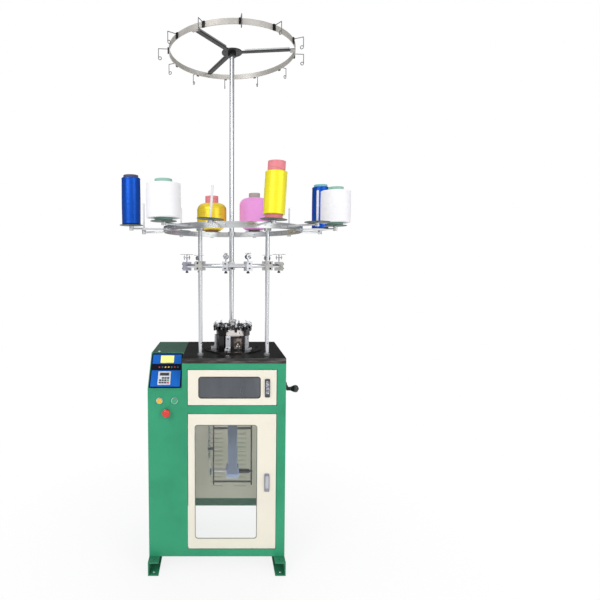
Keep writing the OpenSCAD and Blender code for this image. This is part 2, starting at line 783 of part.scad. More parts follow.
module feeders() {
  color("dimgray") at_head() for (i = [0:feeder_count - 1]) rotate(i * 360 / feeder_count + 8) feeder();
}

// Central yarn guide, held over the cylinder by an arm from the feeder ring
module centre_guide() {
  z = feeder_z + feeder_ring_t;
  arm_z = z + 24;
  color("ivory") at_head() rotate(82) {
    rotate_extrude($fn = 48) polygon([[6, arm_z - 14], [9, arm_z - 14], [9, arm_z], [14, arm_z + 10], [14, arm_z + 13],
      [11, arm_z + 13], [6, arm_z + 1]]);
    box([8, -5, arm_z - 4], [housing_r - 2, 10, 4]);
    box([housing_r - 5, -5, z], [10, 10, arm_z - z - 4]);
  }
}

// Crown gear under the table: a disc with teeth that point down
module crown_gear() {
  tooth_w = 0.36 * PI * gear_module;
  color("darkgray") at_head() {
    ring(crown_root_z, crown_t, crown_r + gear_face / 2 + 3, cyl_r);
    for (i = [0:crown_teeth - 1]) rotate((i + 0.5) * 360 / crown_teeth)
      box([crown_r - gear_face / 2, -tooth_w / 2, mesh_z - gear_add], [gear_face, tooth_w, gear_ded + gear_add]);
  }
}

// Points of a pinion with a tooth pointing along +Y
function pinion_points() = [
  for (i = [0:pinion_teeth - 1], k = [0:3])
    let (pitch = 360 / pinion_teeth,
      a = 90 - i * pitch + [0.32, 0.13, -0.13, -0.32][k] * pitch,
      r = (k == 0 || k == 3) ? pinion_r - gear_ded : pinion_r + gear_add)
        [r * cos(a), r * sin(a)]
];

// Pinion along +X, its tooth pointing up at rest
module pinion(x) {
  translate([x, 0, shaft_z]) rotate([90, 0, 90]) linear_extrude(gear_face) polygon(pinion_points());
}

// Hangers under the table and the flange bearing on the side wall
module shaft_hangers() {
  hanger_w = 64;
  color("darkslategray") at_head() {
    for (x = hanger_x) difference() {
      union() {
        translate([x - hanger_t / 2, 0, 0]) rotate([90, 0, 90]) linear_extrude(hanger_t)
          polygon([[-hanger_w / 2, body_top], [-hanger_w / 2, shaft_z], [-hanger_w / 3, shaft_z - 22],
            [hanger_w / 3, shaft_z - 22], [hanger_w / 2, shaft_z], [hanger_w / 2, body_top]]);
        rod_x(x - hanger_t / 2 - (x > 0 ? 0 : 4), 0, shaft_z, shaft_r + 7, hanger_t + 4);
      }
      rod_x(x - hanger_t, 0, shaft_z, shaft_r + fit_gap, 2 * hanger_t);
    }
    difference() {
      box([wall_x - 8, -28, shaft_z - 28], [8, 56, 56]);
      rod_x(wall_x - 20, 0, shaft_z, shaft_r + fit_gap, 30);
    }
  }
}

// V grooved pulley about +X, centred on x
module v_pulley(x, r, bore) {
  translate([x, 0, 0]) rotate([0, 90, 0]) rotate_extrude($fn = 96)
    polygon([[bore, -pulley_w / 2], [r, -pulley_w / 2], [r, -pulley_w / 2 + 3], [r - 8, -4], [r - 8, 4], [r, pulley_w / 2 - 3],
      [r, pulley_w / 2], [bore, pulley_w / 2]]);
}

// Drive shaft with its belt pulley and pinion
module drive_shaft() {
  x0 = pulley_x - pulley_w / 2 - 3;
  x1 = -crown_r + gear_face / 2;
  color("gray") at_head() {
    rod_x(x0, 0, shaft_z, shaft_r, x1 - x0 - 1);
    translate([0, 0, shaft_z]) v_pulley(pulley_x, driven_r, shaft_r);
    difference() {
      pinion(-crown_r - gear_face / 2);
      rod_x(-crown_r - gear_face, 0, shaft_z, shaft_r, 2 * gear_face);
    }
  }
}

// Motor with cooling ribs on a shelf bracket at the side wall
module motor() {
  x0 = pulley_x + head_x - pulley_w / 2 - 10 - motor_l;
  shelf_z = motor_z - motor_r - 14;
  color("steelblue") {
    difference() {
      union() {
        rod_x(x0, motor_y, motor_z, motor_r - 4, motor_l);
        for (i = [0:8]) rod_x(x0 + 22 + i * 12, motor_y, motor_z, motor_r, 4);
        rod_x(x0, motor_y, motor_z, motor_r, 14);
        rod_x(x0 + motor_l - 12, motor_y, motor_z, motor_r, 12);
        box([x0 + 25, motor_y - 50, shelf_z], [motor_l - 50, 100, 22]);
      }
      rod_x(x0 + motor_l - 30, motor_y, motor_z, 7 + fit_gap, 40);
    }
    box([-cab_w / 2 + sheet, motor_y - 60, shelf_z - 5], [x0 + motor_l + cab_w / 2 - sheet, 120, 5]);
    box([-cab_w / 2 + sheet, motor_y - 60, shelf_z - 70], [5, 120, 70]);
  }
}

module motor_pulley() {
  motor_end = pulley_x + head_x - pulley_w / 2 - 10;
  color("gray") translate([0, motor_y, motor_z]) {
    rod_x(motor_end - 28, 0, 0, 7, 28 + 10 + pulley_w);
    v_pulley(pulley_x + head_x, motor_pulley_r, 7);
  }
}

// Points of a closed belt round two pulleys in the YZ plane
function belt_points(r0, r1) =
  let (dy = motor_y, dz = motor_z - shaft_z, span = sqrt(dy * dy + dz * dz), dir = atan2(dz, dy),
    spread = acos((r0 - r1) / span), steps = 18)
    concat([for (i = [0:steps]) let (a = dir + spread + i * (360 - 2 * spread) / steps) [r0 * cos(a), shaft_z + r0 * sin(a)]],
      [for (i = [0:steps]) let (a = dir - spread + i * 2 * spread / steps) [dy + r1 * cos(a), motor_z + r1 * sin(a)]]);

module drive_belt() {
  belt_in = 7;
  belt_h = 6.5;
  belt_w = 7;
  color("black") at_head() translate([pulley_x - belt_w / 2, 0, 0]) rotate([90, 0, 90]) linear_extrude(belt_w) difference() {
    polygon(belt_points(driven_r - belt_in + belt_h, motor_pulley_r - belt_in + belt_h));
    polygon(belt_points(driven_r - belt_in, motor_pulley_r - belt_in));
  }
}

// Hand crank: shaft with pinion, arm and the pin of its handle

module crank_shaft() {
  x0 = head_x + crown_r - gear_face / 2;
  color("gray") {
    rod_x(x0 + 1, 0, shaft_z, shaft_r, crank_wall - x0);
    translate([head_x, 0, 0]) pinion(crown_r - gear_face / 2);
    rod_x(crank_wall, 0, shaft_z, 16, crank_t);
    box([crank_wall, -crank_l, shaft_z - 9], [crank_t, crank_l, 18]);
    rod_x(crank_wall, -crank_l, shaft_z, 9.5, crank_t);
    rod_x(crank_wall + crank_t - 1, -crank_l, shaft_z, 4, 52);
    rod_x(crank_wall + crank_t + 48, -crank_l, shaft_z, 7, 3);
  }
}

module crank_handle() {
  color("black") translate([crank_wall + crank_t + 1, -crank_l, shaft_z]) rotate([0, 90, 0]) rotate_extrude($fn = 64)
    polygon([[4 + fit_gap, 0], [9, 0], [10, 4], [10, 9], [14, 18], [18, 27], [19, 34], [18, 41], [14, 46],
      [4 + fit_gap, 46]]);
}

// Take-down frame that hangs from the crown gear: side bars, tie rods and the guide of the pawl rod
module takedown_frame() {
  bar_t = 7;
  bar_w = 22;
  color("black") at_head() {
    difference() {
      union() {
        for (side = [-1, 1]) box([side * bar_x - bar_t / 2, -bar_w / 2, bar_z0], [bar_t, bar_w, crown_root_z - bar_z0]);
        rod_x(-bar_x, 13, cross_rod_z, 5, 2 * bar_x);
        rod_x(-bar_x, 0, bar_z0 + 14, 5, 2 * bar_x);
        for (z = [rod_guide_z0, rod_guide_z1]) box([-pawl_x - 8, -8, z], [pawl_x + 8 - bar_x, 16, 8]);
      }
      rod_x(-bar_x - 20, 0, takeup_z, takeup_r + fit_gap, 2 * bar_x + 40);
      for (z = [rod_guide_z0, rod_guide_z1]) translate([-pawl_x, 0, z - 1]) cylinder(h = 10, r = pawl_rod_r + fit_gap, $fn = 32);
    }
  }
}

// Take-up shaft with the fabric roll, a clamp sleeve and the ratchet wheel
module takeup_roller() {
  roll_w = fabric_w + 12;
  roll_left = -roll_w / 2;
  teeth = 24;
  ratchet_r = 24;
  color("slategray") at_head() {
    rod_x(lever_x - 8, 0, takeup_z, takeup_r, bar_x - lever_x + 14);
    rod_x(roll_left, 0, takeup_z, roll_r, roll_w);
    rod_x(roll_left - 8, 0, takeup_z, 15, 8);
    rod_x(roll_left + roll_w, 0, takeup_z, 11, 58);
    translate([ratchet_x, 0, takeup_z]) rotate([90, 0, 90]) linear_extrude(4)
      polygon([for (i = [0:teeth - 1], k = [0:1]) let (a = (i + k * 0.1) * 360 / teeth)
        [(ratchet_r - 3 * k) * cos(a), (ratchet_r - 3 * k) * sin(a)]]);
  }
}

// Pawl lever on the take-up shaft, moved by the pawl rod
module pawl_lever() {
  color("seagreen") at_head() difference() {
    union() {
      rod_x(lever_x, 0, takeup_z, 12, 6);
      box([lever_x, -rod_arm, takeup_z - 6], [6, rod_arm, 12]);
      rod_x(lever_x, -rod_arm, takeup_z, 9, 6);
    }
    rod_x(lever_x - 1, 0, takeup_z, takeup_r + fit_gap, 8);
    rod_x(lever_x - 1, -rod_arm, takeup_z, 5, 8);
  }
}

module pawl_rod() {
  color("silver") at_head() {
    translate([-pawl_x, 0, rod_guide_z0 - 40]) cylinder(h = rod_guide_z1 - rod_guide_z0 + 90, r = pawl_rod_r, $fn = 32);
    box([-pawl_x - 3, -rod_arm - 6, rod_guide_z0 - 44], [6, rod_arm + 11, 10]);
    box([-pawl_x - 3, -rod_arm - 6, takeup_z - 8], [3, 12, rod_guide_z0 - 36 - takeup_z]);
    rod_x(-pawl_x - 3, -rod_arm, takeup_z, 3.5, 9);
  }
}

// Knitted tube from the needles down to the roll
module fabric_tube() {
  flat_z = cross_rod_z + 60;
  roll_y = roll_r + 0.8;
  color("slateblue") at_head() {
    hull() {
      translate([0, 0, feeder_z]) cylinder(h = 1, r = cyl_bore_r - 6, $fn = 32);
      translate([0, 0, crown_root_z]) cylinder(h = 1, r = cyl_bore_r - 12, $fn = 32);
    }
    hull() {
      translate([0, 0, crown_root_z]) cylinder(h = 1, r = cyl_bore_r - 12, $fn = 32);
      translate([0, 0, flat_z]) scale([fabric_w / fabric_t, 1, 1]) cylinder(h = 1, r = fabric_t / 2, $fn = 32);
    }
    hull() {
      translate([0, 0, flat_z]) scale([fabric_w / fabric_t, 1, 1]) cylinder(h = 1, r = fabric_t / 2, $fn = 32);
      translate([0, -roll_y - fabric_t / 2, takeup_z]) scale([fabric_w / fabric_t, 1, 1]) cylinder(h = 1, r = fabric_t / 2, $fn = 32);
    }
  }
}

// Posts and pole with their collars on the table
module posts() {
  collar_h = 12;
  color("silver") at_head() {
    for (p = post_points) translate([p[0], p[1], 0]) {
      translate([0, 0, body_top]) cylinder(h = creel_z + creel_band_h - 8 - body_top, r = post_r, $fn = 48);
      ring(table_z, collar_h, post_r + 5, post_r);
    }
    translate([0, pole_y, 0]) {
      translate([0, 0, body_top]) cylinder(h = top_z + top_band_h - body_top, r = pole_r, $fn = 48);
      ring(table_z, collar_h, pole_r + 5, pole_r);
    }
  }
}

// Arc of tube between two angles
module tube_arc(r, tube_r, z, a0, a1) {
  translate([0, 0, z]) rotate(a0) rotate_extrude(angle = a1 - a0, $fn = 96) translate([r, 0]) circle(r = tube_r, $fn = 24);
}

// Angles of the posts and the pole on their circle

// Gap in the tension ring where a post stands, as half an angle
function stand_gap(r) = asin((r + 2) / post_circle_r);

module tension_ring() {
  g = stand_gap(pole_r);
  color("silver") at_head() {
    tube_arc(post_circle_r, tension_tube_r, tension_z, 90 + g, 180 + post_angle - g);
    tube_arc(post_circle_r, tension_tube_r, tension_z, 180 + post_angle + g, 360 - post_angle - g);
    tube_arc(post_circle_r, tension_tube_r, tension_z, -post_angle + g, 90 - g);
  }
}

// Clamp blocks that hold the tension ring's tubes on the posts and the pole
module ring_clamps() {
  block = 36;
  block_h = 44;
  radii = [pole_r, post_r, post_r];
  color("darkgray") at_head() difference() {
    union() {
      for (i = [0:2]) rotate(stand_angles[i])
        box([post_circle_r - block / 2, -block / 2, tension_z - block_h / 2], [block, block, block_h]);
      // clamping knob on the pole's block
      rotate(90) translate([post_circle_r - block / 2 - 26, 0, tension_z - 4]) rotate([0, 90, 0]) cylinder(h = 14, r = 10, $fn = 48);
      rotate(90) translate([post_circle_r - block / 2 - 13, 0, tension_z - 4]) rotate([0, 90, 0]) cylinder(h = 14, r = 4, $fn = 32);
    }
    for (i = [0:2]) rotate(stand_angles[i]) {
      translate([post_circle_r, 0, tension_z - block_h]) cylinder(h = 2 * block_h, r = radii[i], $fn = 48);
    }
    for (i = [0:2]) tube_arc(post_circle_r, tension_tube_r, tension_z, stand_angles[i] + stand_gap(pole_r), stand_angles[i] + 8);
    for (i = [0:2]) tube_arc(post_circle_r, tension_tube_r, tension_z, stand_angles[i] - 8, stand_angles[i] - stand_gap(pole_r));
  }
}

// Yarn tension unit: a block on the ring, a bracket, two discs on a pin and a wire loop
module tension_unit() {
  block_w = 28;
  block_d = 44;
  low = tension_z - 24;
  high = tension_z + 20;
  disc_at = high + 22;
  wire_at = high + 38;
  difference() {
    box([post_circle_r - block_d / 2, -block_w / 2, low], [block_d, block_w, high - low]);
    tube_arc(post_circle_r, tension_tube_r, tension_z, -5, 5);
  }
  // clamping screw under the block
  translate([post_circle_r, 0, low - 5]) cylinder(h = 6, r = 4, $fn = 24);
  translate([post_circle_r, 0, low - 12]) cylinder(h = 8, r = 7, $fn = 32);
  translate([post_circle_r, 0, high - 1]) cylinder(h = wire_at - high - 1, r = 3, $fn = 24);
  // two pairs of discs on a cross pin
  translate([post_circle_r, 0, disc_at]) rotate([0, 90, 0]) {
    translate([0, 0, -17]) cylinder(h = 34, r = 2, $fn = 24);
    for (side = [-1, 1]) translate([0, 0, side * 12]) {
      translate([0, 0, -1.5]) cylinder(h = 1, r = 12, $fn = 48);
      translate([0, 0, 0.5]) cylinder(h = 1, r = 12, $fn = 48);
    }
  }
  // wire guide across the top, with an eye at each end
  translate([post_circle_r, 0, wire_at]) {
    translate([0, 0, -3]) cylinder(h = 4.5, r = 4, $fn = 24);
    translate([-24, 0, 0]) rotate([0, 90, 0]) cylinder(h = 48, r = 1.3, $fn = 16);
    for (side = [-1, 1]) translate([side * 28, 0, 0]) rotate_extrude($fn = 32) translate([4, 0]) circle(r = 1.3, $fn = 16);
  }
}

module tension_units() {
  color("silver") at_head() for (a = tension_angles) rotate(a) tension_unit();
}

// Holder places as [x, y] about the cylinder's axis
function holder_point(i) = [holder_r * cos(holders[i][0]), holder_r * sin(holders[i][0])];

// Creel ring with its three carrying arms and the rod of every cone holder
module creel_frame() {
  hub_h = 30;
  mid_z = creel_z + creel_band_h / 2;
  color("silver") at_head() {
    difference() {
      ring(creel_z, creel_band_h, creel_r, creel_r - creel_band_t);
      // fixing holes in the band
      for (i = [0:23]) rotate(7.5 + 15 * i) translate([creel_r - 15, 0, mid_z]) rotate([0, 90, 0]) cylinder(h = 25, r = 2.5, $fn = 16);
    }
    // clamp on each stand and a flat arm out to the band
    for (i = [0:2]) {
      r = i == 0 ? pole_r : post_r;
      rotate(stand_angles[i]) {
        translate([post_circle_r, 0, creel_z - 2]) difference() {
          cylinder(h = creel_band_h - 4, r = r + 8, $fn = 48);
          translate([0, 0, -1]) cylinder(h = creel_band_h, r = r, $fn = 48);
        }
        box([post_circle_r + r + 5, -12, mid_z - 5], [creel_r - creel_band_t / 2 - post_circle_r - r - 5, 24, 6]);
      }
    }
    for (i = [0:len(holders) - 1]) rotate(holders[i][0])
      translate([creel_r - creel_band_t - 6, 0, mid_z]) rotate([0, 90, 0]) cylinder(h = holder_r - creel_r + creel_band_t + 6, r = arm_r, $fn = 32);
  }
}

// Moves to one holder, with its lean
module at_holder(i) {
  p = holder_point(i);
  at_head() translate([p[0], p[1], disc_z + holders[i][2]]) rotate([0, holders[i][1], 0]) children();
}

// Discs that the yarn packages stand on
module cone_discs() {
  color("darkolivegreen") for (i = [0:len(holders) - 1]) at_holder(i)
    rotate_extrude($fn = 64) polygon([[pin_r + pin_shoulder, 0], [disc_r - 2, 0], [disc_r, 1], [disc_r, disc_t - 1],
      [disc_r - 2, disc_t], [pin_r + pin_shoulder, disc_t]]);
}

// Pins with the shoulder that a disc sits on and the boss that clamps them to their arm
module cone_pins() {
  boss_z = creel_z + creel_band_h / 2 - arm_r - 4;
  color("silver") for (i = [0:len(holders) - 1]) {
    at_holder(i) {
      translate([0, 0, -2]) cylinder(h = disc_t + 2, r = pin_r + pin_shoulder, $fn = 32);
      translate([0, 0, disc_t]) cylinder(h = pin_h - disc_t - pin_r, r = pin_r, $fn = 32);
      translate([0, 0, pin_h - pin_r]) sphere(r = pin_r, $fn = 32);
    }
    at_head() translate([0, 0, boss_z]) rotate(holders[i][0]) difference() {
      translate([holder_r, 0, 0])
        cylinder(h = disc_z + holders[i][2] - boss_z - (arm_r + 5) * sin(holders[i][1]), r = arm_r + 5, $fn = 32);
      translate([holder_r - 20, 0, arm_r + 4]) rotate([0, 90, 0]) cylinder(h = 20, r = arm_r, $fn = 32);
    }
  }
}

// Yarn wound with square ends and rounded edges
module yarn_cylinder(p) {
  edge = 5;
  rotate_extrude($fn = 96) polygon([[p[1], p[3]], [p[0] - edge, p[3]], [p[0] - 1, p[3] + 1.5], [p[0], p[3] + edge],
    [p[0], p[3] + p[2] - edge], [p[0] - 1, p[3] + p[2] - 1.5], [p[0] - edge, p[3] + p[2]], [p[1], p[3] + p[2]]]);
}

module yarn_cylinders() {
  for (c = cylinder_packages) color(c[2]) at_holder(c[0]) translate([0, 0, disc_t]) yarn_cylinder(c[1]);
}

// Yarn wound with sloping shoulders
module yarn_cones() {
  for (c = cone_packages) color(c[2]) at_holder(c[0]) translate([0, 0, disc_t]) {
    p = c[1];
    rotate_extrude($fn = 96) polygon([[p[1], p[3] - 22], [p[0] - 38, p[3] - 22], [p[0] - 12, p[3]], [p[0] - 2, p[3] + 14],
      [p[0], p[3] + 28], [p[0], p[3] + p[2] - 38], [p[0] - 5, p[3] + p[2] - 22], [p[0] - 18, p[3] + p[2] - 7],
      [p[0] - 36, p[3] + p[2]], [p[1], p[3] + p[2] + 1]]);
  }
}

// Paper tubes inside the packages
module cone_tubes() {
  color("lightpink") for (c = concat(cylinder_packages, cone_packages)) at_holder(c[0]) translate([0, 0, disc_t])
    ring(loose_gap, c[1][2] + c[1][3] + c[1][4], c[1][1], c[1][1] - tube_wall);
}

// Hub disc and spokes that carry the top ring
module at_pole() {
  translate([head_x, pole_y, 0]) children();
}

module top_hub() {
  spoke_w = 24;
  spoke_t = 6;
  spoke_z = top_z + (top_band_h - spoke_t) / 2;
  color("dimgray") at_pole() difference() {
    union() {
      translate([0, 0, spoke_z]) cylinder(h = spoke_t, r = hub_r, $fn = 96);
      translate([0, 0, spoke_z - 20]) cylinder(h = 20 + spoke_t, r = pole_r + 10, $fn = 64);
      for (a = spoke_angles) rotate(a) box([0, -spoke_w / 2, spoke_z], [top_r - top_band_t - 1, spoke_w, spoke_t]);
    }
    translate([0, 0, spoke_z - 30]) cylinder(h = 60, r = pole_r, $fn = 48);
    for (i = [0:5]) rotate(30 + 60 * i) translate([hub_r - 14, 0, spoke_z - 1]) cylinder(h = spoke_t + 2, r = 3, $fn = 24);
  }
}

// Band of the yarn guide ring, with a lug for every spoke
module top_ring() {
  mid_z = top_z + top_band_h / 2;
  color("silver") at_pole() {
    ring(top_z, top_band_h, top_r, top_r - top_band_t);
    for (a = spoke_angles) rotate(a)
      box([top_r - top_band_t - 24, -16, mid_z - 3 - 6], [24 + top_band_t / 2, 32, 6]);
  }
}

// Wire hook clipped to the band: out, down and round into an eye
module yarn_hook() {
  out = 56;
  drop = 50;
  eye_r = 8;
  z = top_z + top_band_h / 2;
  x = top_r + out;
  box([top_r, -7, z - 17], [7, 14, 30]);
  translate([top_r + 6, 0, z + 6]) rotate([0, 90, 0]) cylinder(h = out - 6, r = hook_wire_r, $fn = 24);
  translate([x, 0, z + 6]) sphere(r = hook_wire_r, $fn = 24);
  translate([x, 0, z + 6 - drop]) cylinder(h = drop, r = hook_wire_r, $fn = 24);
  translate([x - eye_r, 0, z + 6 - drop]) rotate([90, 0, 0]) rotate_extrude($fn = 48) translate([eye_r, 0]) circle(r = hook_wire_r, $fn = 16);
}

module yarn_hooks() {
  color("silver") at_pole() for (i = [0:hook_count - 1]) rotate(i * 360 / hook_count + hook_phase) yarn_hook();
}

runner_left();
runner_right();
cabinet_shell();
back_panel();
table_top();
console_housing();
console_panel();
lcd_screen();
indicator_lamps();
drive_keypad();
hinge_pins();
upper_door();
upper_window();
lower_door();
lower_window();
upper_latch_plate();
upper_latch_lever();
lower_latch_plate();
lower_latch_lever();
button_bezels();
button_yellow();
button_green();
stop_stem();
stop_head();
bed_plate();
head_bearing();
cam_housing();
cam_ring();
head_brackets();
needle_cylinder();
needles();
feeder_ring();
feeders();
centre_guide();
crown_gear();
shaft_hangers();
drive_shaft();
motor();
motor_pulley();
drive_belt();
crank_shaft();
crank_handle();
takedown_frame();
takeup_roller();
pawl_lever();
pawl_rod();
fabric_tube();
posts();
ring_clamps();
tension_ring();
tension_units();
creel_frame();
cone_discs();
cone_pins();
yarn_cones();
yarn_cylinders();
cone_tubes();
top_hub();
top_ring();
yarn_hooks();
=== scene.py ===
"""Looks of the circular knitting machine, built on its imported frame."""
import math

import bmesh
import bpy
from mathutils import Matrix, Vector


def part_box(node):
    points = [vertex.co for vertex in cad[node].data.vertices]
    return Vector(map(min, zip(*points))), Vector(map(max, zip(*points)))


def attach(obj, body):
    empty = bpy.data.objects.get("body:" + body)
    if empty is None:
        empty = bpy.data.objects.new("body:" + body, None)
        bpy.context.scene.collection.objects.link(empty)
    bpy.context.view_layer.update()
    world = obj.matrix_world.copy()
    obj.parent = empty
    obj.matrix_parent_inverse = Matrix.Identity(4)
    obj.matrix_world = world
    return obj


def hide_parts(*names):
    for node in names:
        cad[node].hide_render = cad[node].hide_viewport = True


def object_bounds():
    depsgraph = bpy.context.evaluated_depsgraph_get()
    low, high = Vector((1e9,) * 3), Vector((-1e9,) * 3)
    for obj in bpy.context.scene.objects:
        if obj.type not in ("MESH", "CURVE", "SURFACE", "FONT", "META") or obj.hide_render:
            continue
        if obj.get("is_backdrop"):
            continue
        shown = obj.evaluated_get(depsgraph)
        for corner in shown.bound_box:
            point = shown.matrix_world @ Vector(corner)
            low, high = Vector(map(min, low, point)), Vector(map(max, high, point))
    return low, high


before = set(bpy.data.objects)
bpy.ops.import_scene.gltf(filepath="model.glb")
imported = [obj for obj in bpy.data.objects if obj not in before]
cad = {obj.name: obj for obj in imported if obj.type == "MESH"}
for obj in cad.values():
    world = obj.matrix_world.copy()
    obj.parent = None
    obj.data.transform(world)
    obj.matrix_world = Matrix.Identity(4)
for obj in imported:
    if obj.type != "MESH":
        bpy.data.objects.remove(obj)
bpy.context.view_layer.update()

scene = bpy.context.scene
PI = math.pi
WHITE = (1, 1, 1, 1)

# Places and sizes of the CAD model that the pieces below sit on, in metres
FRONT = -0.25
BACK = 0.25
LEFT = -0.327
TABLE_Z = 1.035
HEAD_X = 0.0815
STAND_R = 0.236
POLE_Y = 0.236
POLE_R = 0.0125
POST_X = 0.161
POST_Y = -0.17255
POST_R = 0.0095
POST_TOP = 1.657
DOOR_X0 = -0.137
DOOR_W = 0.419
UPPER_DOOR_Z = 0.811
UPPER_DOOR_H = 0.168
LOWER_DOOR_Z = 0.106
LOWER_DOOR_H = 0.661
BUTTON_Z = TABLE_Z - 0.202
SLOPE_ORIGIN = Vector((LEFT, FRONT, 0.889))
TENSION_Z = 1.469
TAKEUP_Z = 0.383
FEEDER_Z = 1.148
FEEDERS = 12
HOLDER_R = 0.512
DISC_Z = 1.666
# angles of the spokes and of the tension units, in degrees
SPOKES = (-6, 114, 234)
UNITS = (36, 140, 186, 260.5, 286, 352)


# Camera and light

camera_data = bpy.data.cameras.new("camera")
camera_data.sensor_width = 36
camera_data.lens = 28.96
camera_data.shift_x = 0.135
camera_data.clip_end = 100
camera = bpy.data.objects.new("camera", camera_data)
camera.location = (0.0104, -2.4949, 1.4655)
camera.rotation_euler = (math.radians(90 - 3.965), 0, 0)
scene.collection.objects.link(camera)
scene.camera = camera

scene.view_settings.view_transform = "Standard"


def area_light(name, place, target, size, watts, colour=(1, 1, 1)):
    data = bpy.data.lights.new(name, "AREA")
    data.shape = "RECTANGLE"
    data.size, data.size_y = size
    data.energy = watts
    data.color = colour
    lamp = bpy.data.objects.new(name, data)
    lamp.location = place
    lamp.rotation_euler = (Vector(target) - Vector(place)).to_track_quat("-Z", "Y").to_euler()
    scene.collection.objects.link(lamp)
    return lamp


area_light("key", (-2.2, -3.2, 3.4), (0, 0, 1.2), (2.2, 2.2), 66)
area_light("fill", (2.8, -2.6, 2.2), (0, 0, 1.1), (2.0, 2.6), 34)
rear = area_light("rear", (0.4, 3.4, 3.2), (0, 0, 1.3), (2.4, 2.0), 32)
rear.visible_glossy = False
# stands for the front light that the pane lets in
inside = area_light("inside", (0.09, -0.225, 0.46), (0.06, 0.24, 0.46), (0.24, 0.34), 1.7)
inside.visible_camera = inside.visible_glossy = inside.visible_transmission = False

# Materials

def srgb(r, g, b):
    out = []
    for v in (r, g, b):
        v /= 255
        out.append(v / 12.92 if v <= 0.04045 else ((v + 0.055) / 1.055) ** 2.4)
    return (*out, 1.0)


def scaled(colour, factor):
    """The colour made darker or lighter."""
    return tuple(min(1.0, c * factor) for c in colour[:3]) + (1,)


class Nodes:
    """A node tree and short calls for its nodes."""

    def __init__(self, tree, coords):
        self.tree = tree
        self.coords = tree.nodes.new("ShaderNodeTexCoord").outputs[coords]

    def put(self, socket, value):
        if isinstance(value, bpy.types.NodeSocket):
            self.tree.links.new(value, socket)
        else:
            socket.default_value = value

    def node(self, kind, inputs, **settings):
        n = self.tree.nodes.new("ShaderNode" + kind)
        for key, value in settings.items():
            setattr(n, key, value)
        for key, value in inputs.items():
            self.put(n.inputs[key], value)
        return n

    def math(self, kind, a, b=0.0):
        return self.node("Math", {0: a, 1: b}, operation=kind).outputs[0]

    def add(self, a, b):
        return self.math("ADD", a, b)

    def sub(self, a, b):
        return self.math("SUBTRACT", a, b)

    def mul(self, a, b):
        return self.math("MULTIPLY", a, b)

    def over(self, a, b):
        return self.math("GREATER_THAN", a, b)

    def under(self, a, b):
        return self.math("LESS_THAN", a, b)

    def sine(self, a):
        return self.math("SINE", a)

    def length(self, a, b):
        return self.math("SQRT", self.add(self.mul(a, a), self.mul(b, b)))

    def xyz(self, vector=None):
        return self.node("SeparateXYZ", {0: vector or self.coords}).outputs

    def mapped(self, scale):
        return self.node("Mapping", {"Vector": self.coords, "Scale": scale}).outputs[0]

    def noise(self, scale, detail=3.0, vector=None, rough=0.55):
        return self.node("TexNoise", {"Vector": vector or self.coords, "Scale": scale, "Detail": detail,
                                      "Roughness": rough}).outputs[0]

    def ramp(self, fac, stops):
        n = self.node("ValToRGB", {0: fac})
        el = n.color_ramp.elements
        el[0].position, el[0].color = stops[0]
        el[1].position, el[1].color = stops[-1]
        for at, colour in stops[1:-1]:
            el.new(at).color = colour
        return n.outputs[0]

    def tones(self, fac, *colours):
        """Colours spread over the middle of a noise's range."""
        step = 0.4 / (len(colours) - 1)
        return self.ramp(fac, [(0.3 + step * i, srgb(*c)) for i, c in enumerate(colours)])

    def between(self, value, at_low, at_high, low=0.0, high=1.0):
        """The value's range from low to high, spread from at_low to at_high."""
        return self.node("MapRange", {"Value": value, "From Min": low, "From Max": high, "To Min": at_low,
                                      "To Max": at_high}).outputs[0]

    def mix(self, fac, a, b):
        return self.node("Mix", {0: fac, 6: a, 7: b}, data_type="RGBA").outputs[2]


class Graph(Nodes):
    """A material with its nodes."""

    def __init__(self, name):
        self.mat = bpy.data.materials.new(name)
        self.mat.use_nodes = True
        super().__init__(self.mat.node_tree, "Object")
        self.bsdf = self.tree.nodes["Principled BSDF"]

    def fill(self, inputs):
        for key, value in inputs.items():
            self.put(self.bsdf.inputs[key], value)

    def on_slope(self):
        """Coordinates on the slanted panel."""
        turned = self.node("Mapping", {"Vector": self.coords, "Location": SLOPE_ORIGIN,
                                       "Rotation": (math.radians(45), 0, 0)}, vector_type="TEXTURE")
        return self.xyz(turned.outputs[0])

    def normal(self, axis):
        return self.xyz(self.node("NewGeometry", {}).outputs["Normal"])[axis]

    def bevel(self, radius):
        return self.node("Bevel", {"Radius": radius}, samples=4).outputs[0]

    def edges(self, radius):
        """One along the edges, nought elsewhere."""
        flat = self.node("NewGeometry", {}).outputs["Normal"]
        dot = self.node("VectorMath", {0: self.bevel(radius), 1: flat}, operation="DOT_PRODUCT")
        return self.between(dot.outputs["Value"], 0.0, 1.0, 0.99, 0.75)

    def bump(self, height, strength, distance, normal=None):
        n = self.node("Bump", {"Height": height, "Strength": strength, "Distance": distance})
        if normal is not None:
            self.put(n.inputs["Normal"], normal)
        return n.outputs[0]


# What polished metal sees: a pale room with a darker wall at each side, and a dark band low behind
# the machine, which keeps grazing reflections on the table down

world = bpy.data.worlds.new("studio")
scene.world = world
world.use_nodes = True
world.node_tree.nodes.clear()
w = Nodes(world.node_tree, "Generated")
wx, wy, wz = w.xyz()
WALLS = ((0.35, 0.84), (0.60, 0.66), (0.80, 0.38), (0.92, 0.30))
walls = w.ramp(w.math("ABSOLUTE", wx), [(0.0, (0.92, 0.93, 0.95, 1))] + [(at, (v, v, v * 1.02, 1)) for at, v in WALLS]
               + [(1.0, (0.30, 0.31, 0.33, 1))])
band = w.math("MAXIMUM", w.between(wy, 1.0, 0.03, 0.30, 0.75), w.between(wz, 0.0, 1.0, 0.32, 0.60))
dimmed = w.mix(band, (0.02, 0.02, 0.022, 1), walls)


def background(colour, strength):
    return w.node("Background", {"Color": colour, "Strength": strength}).outputs[0]


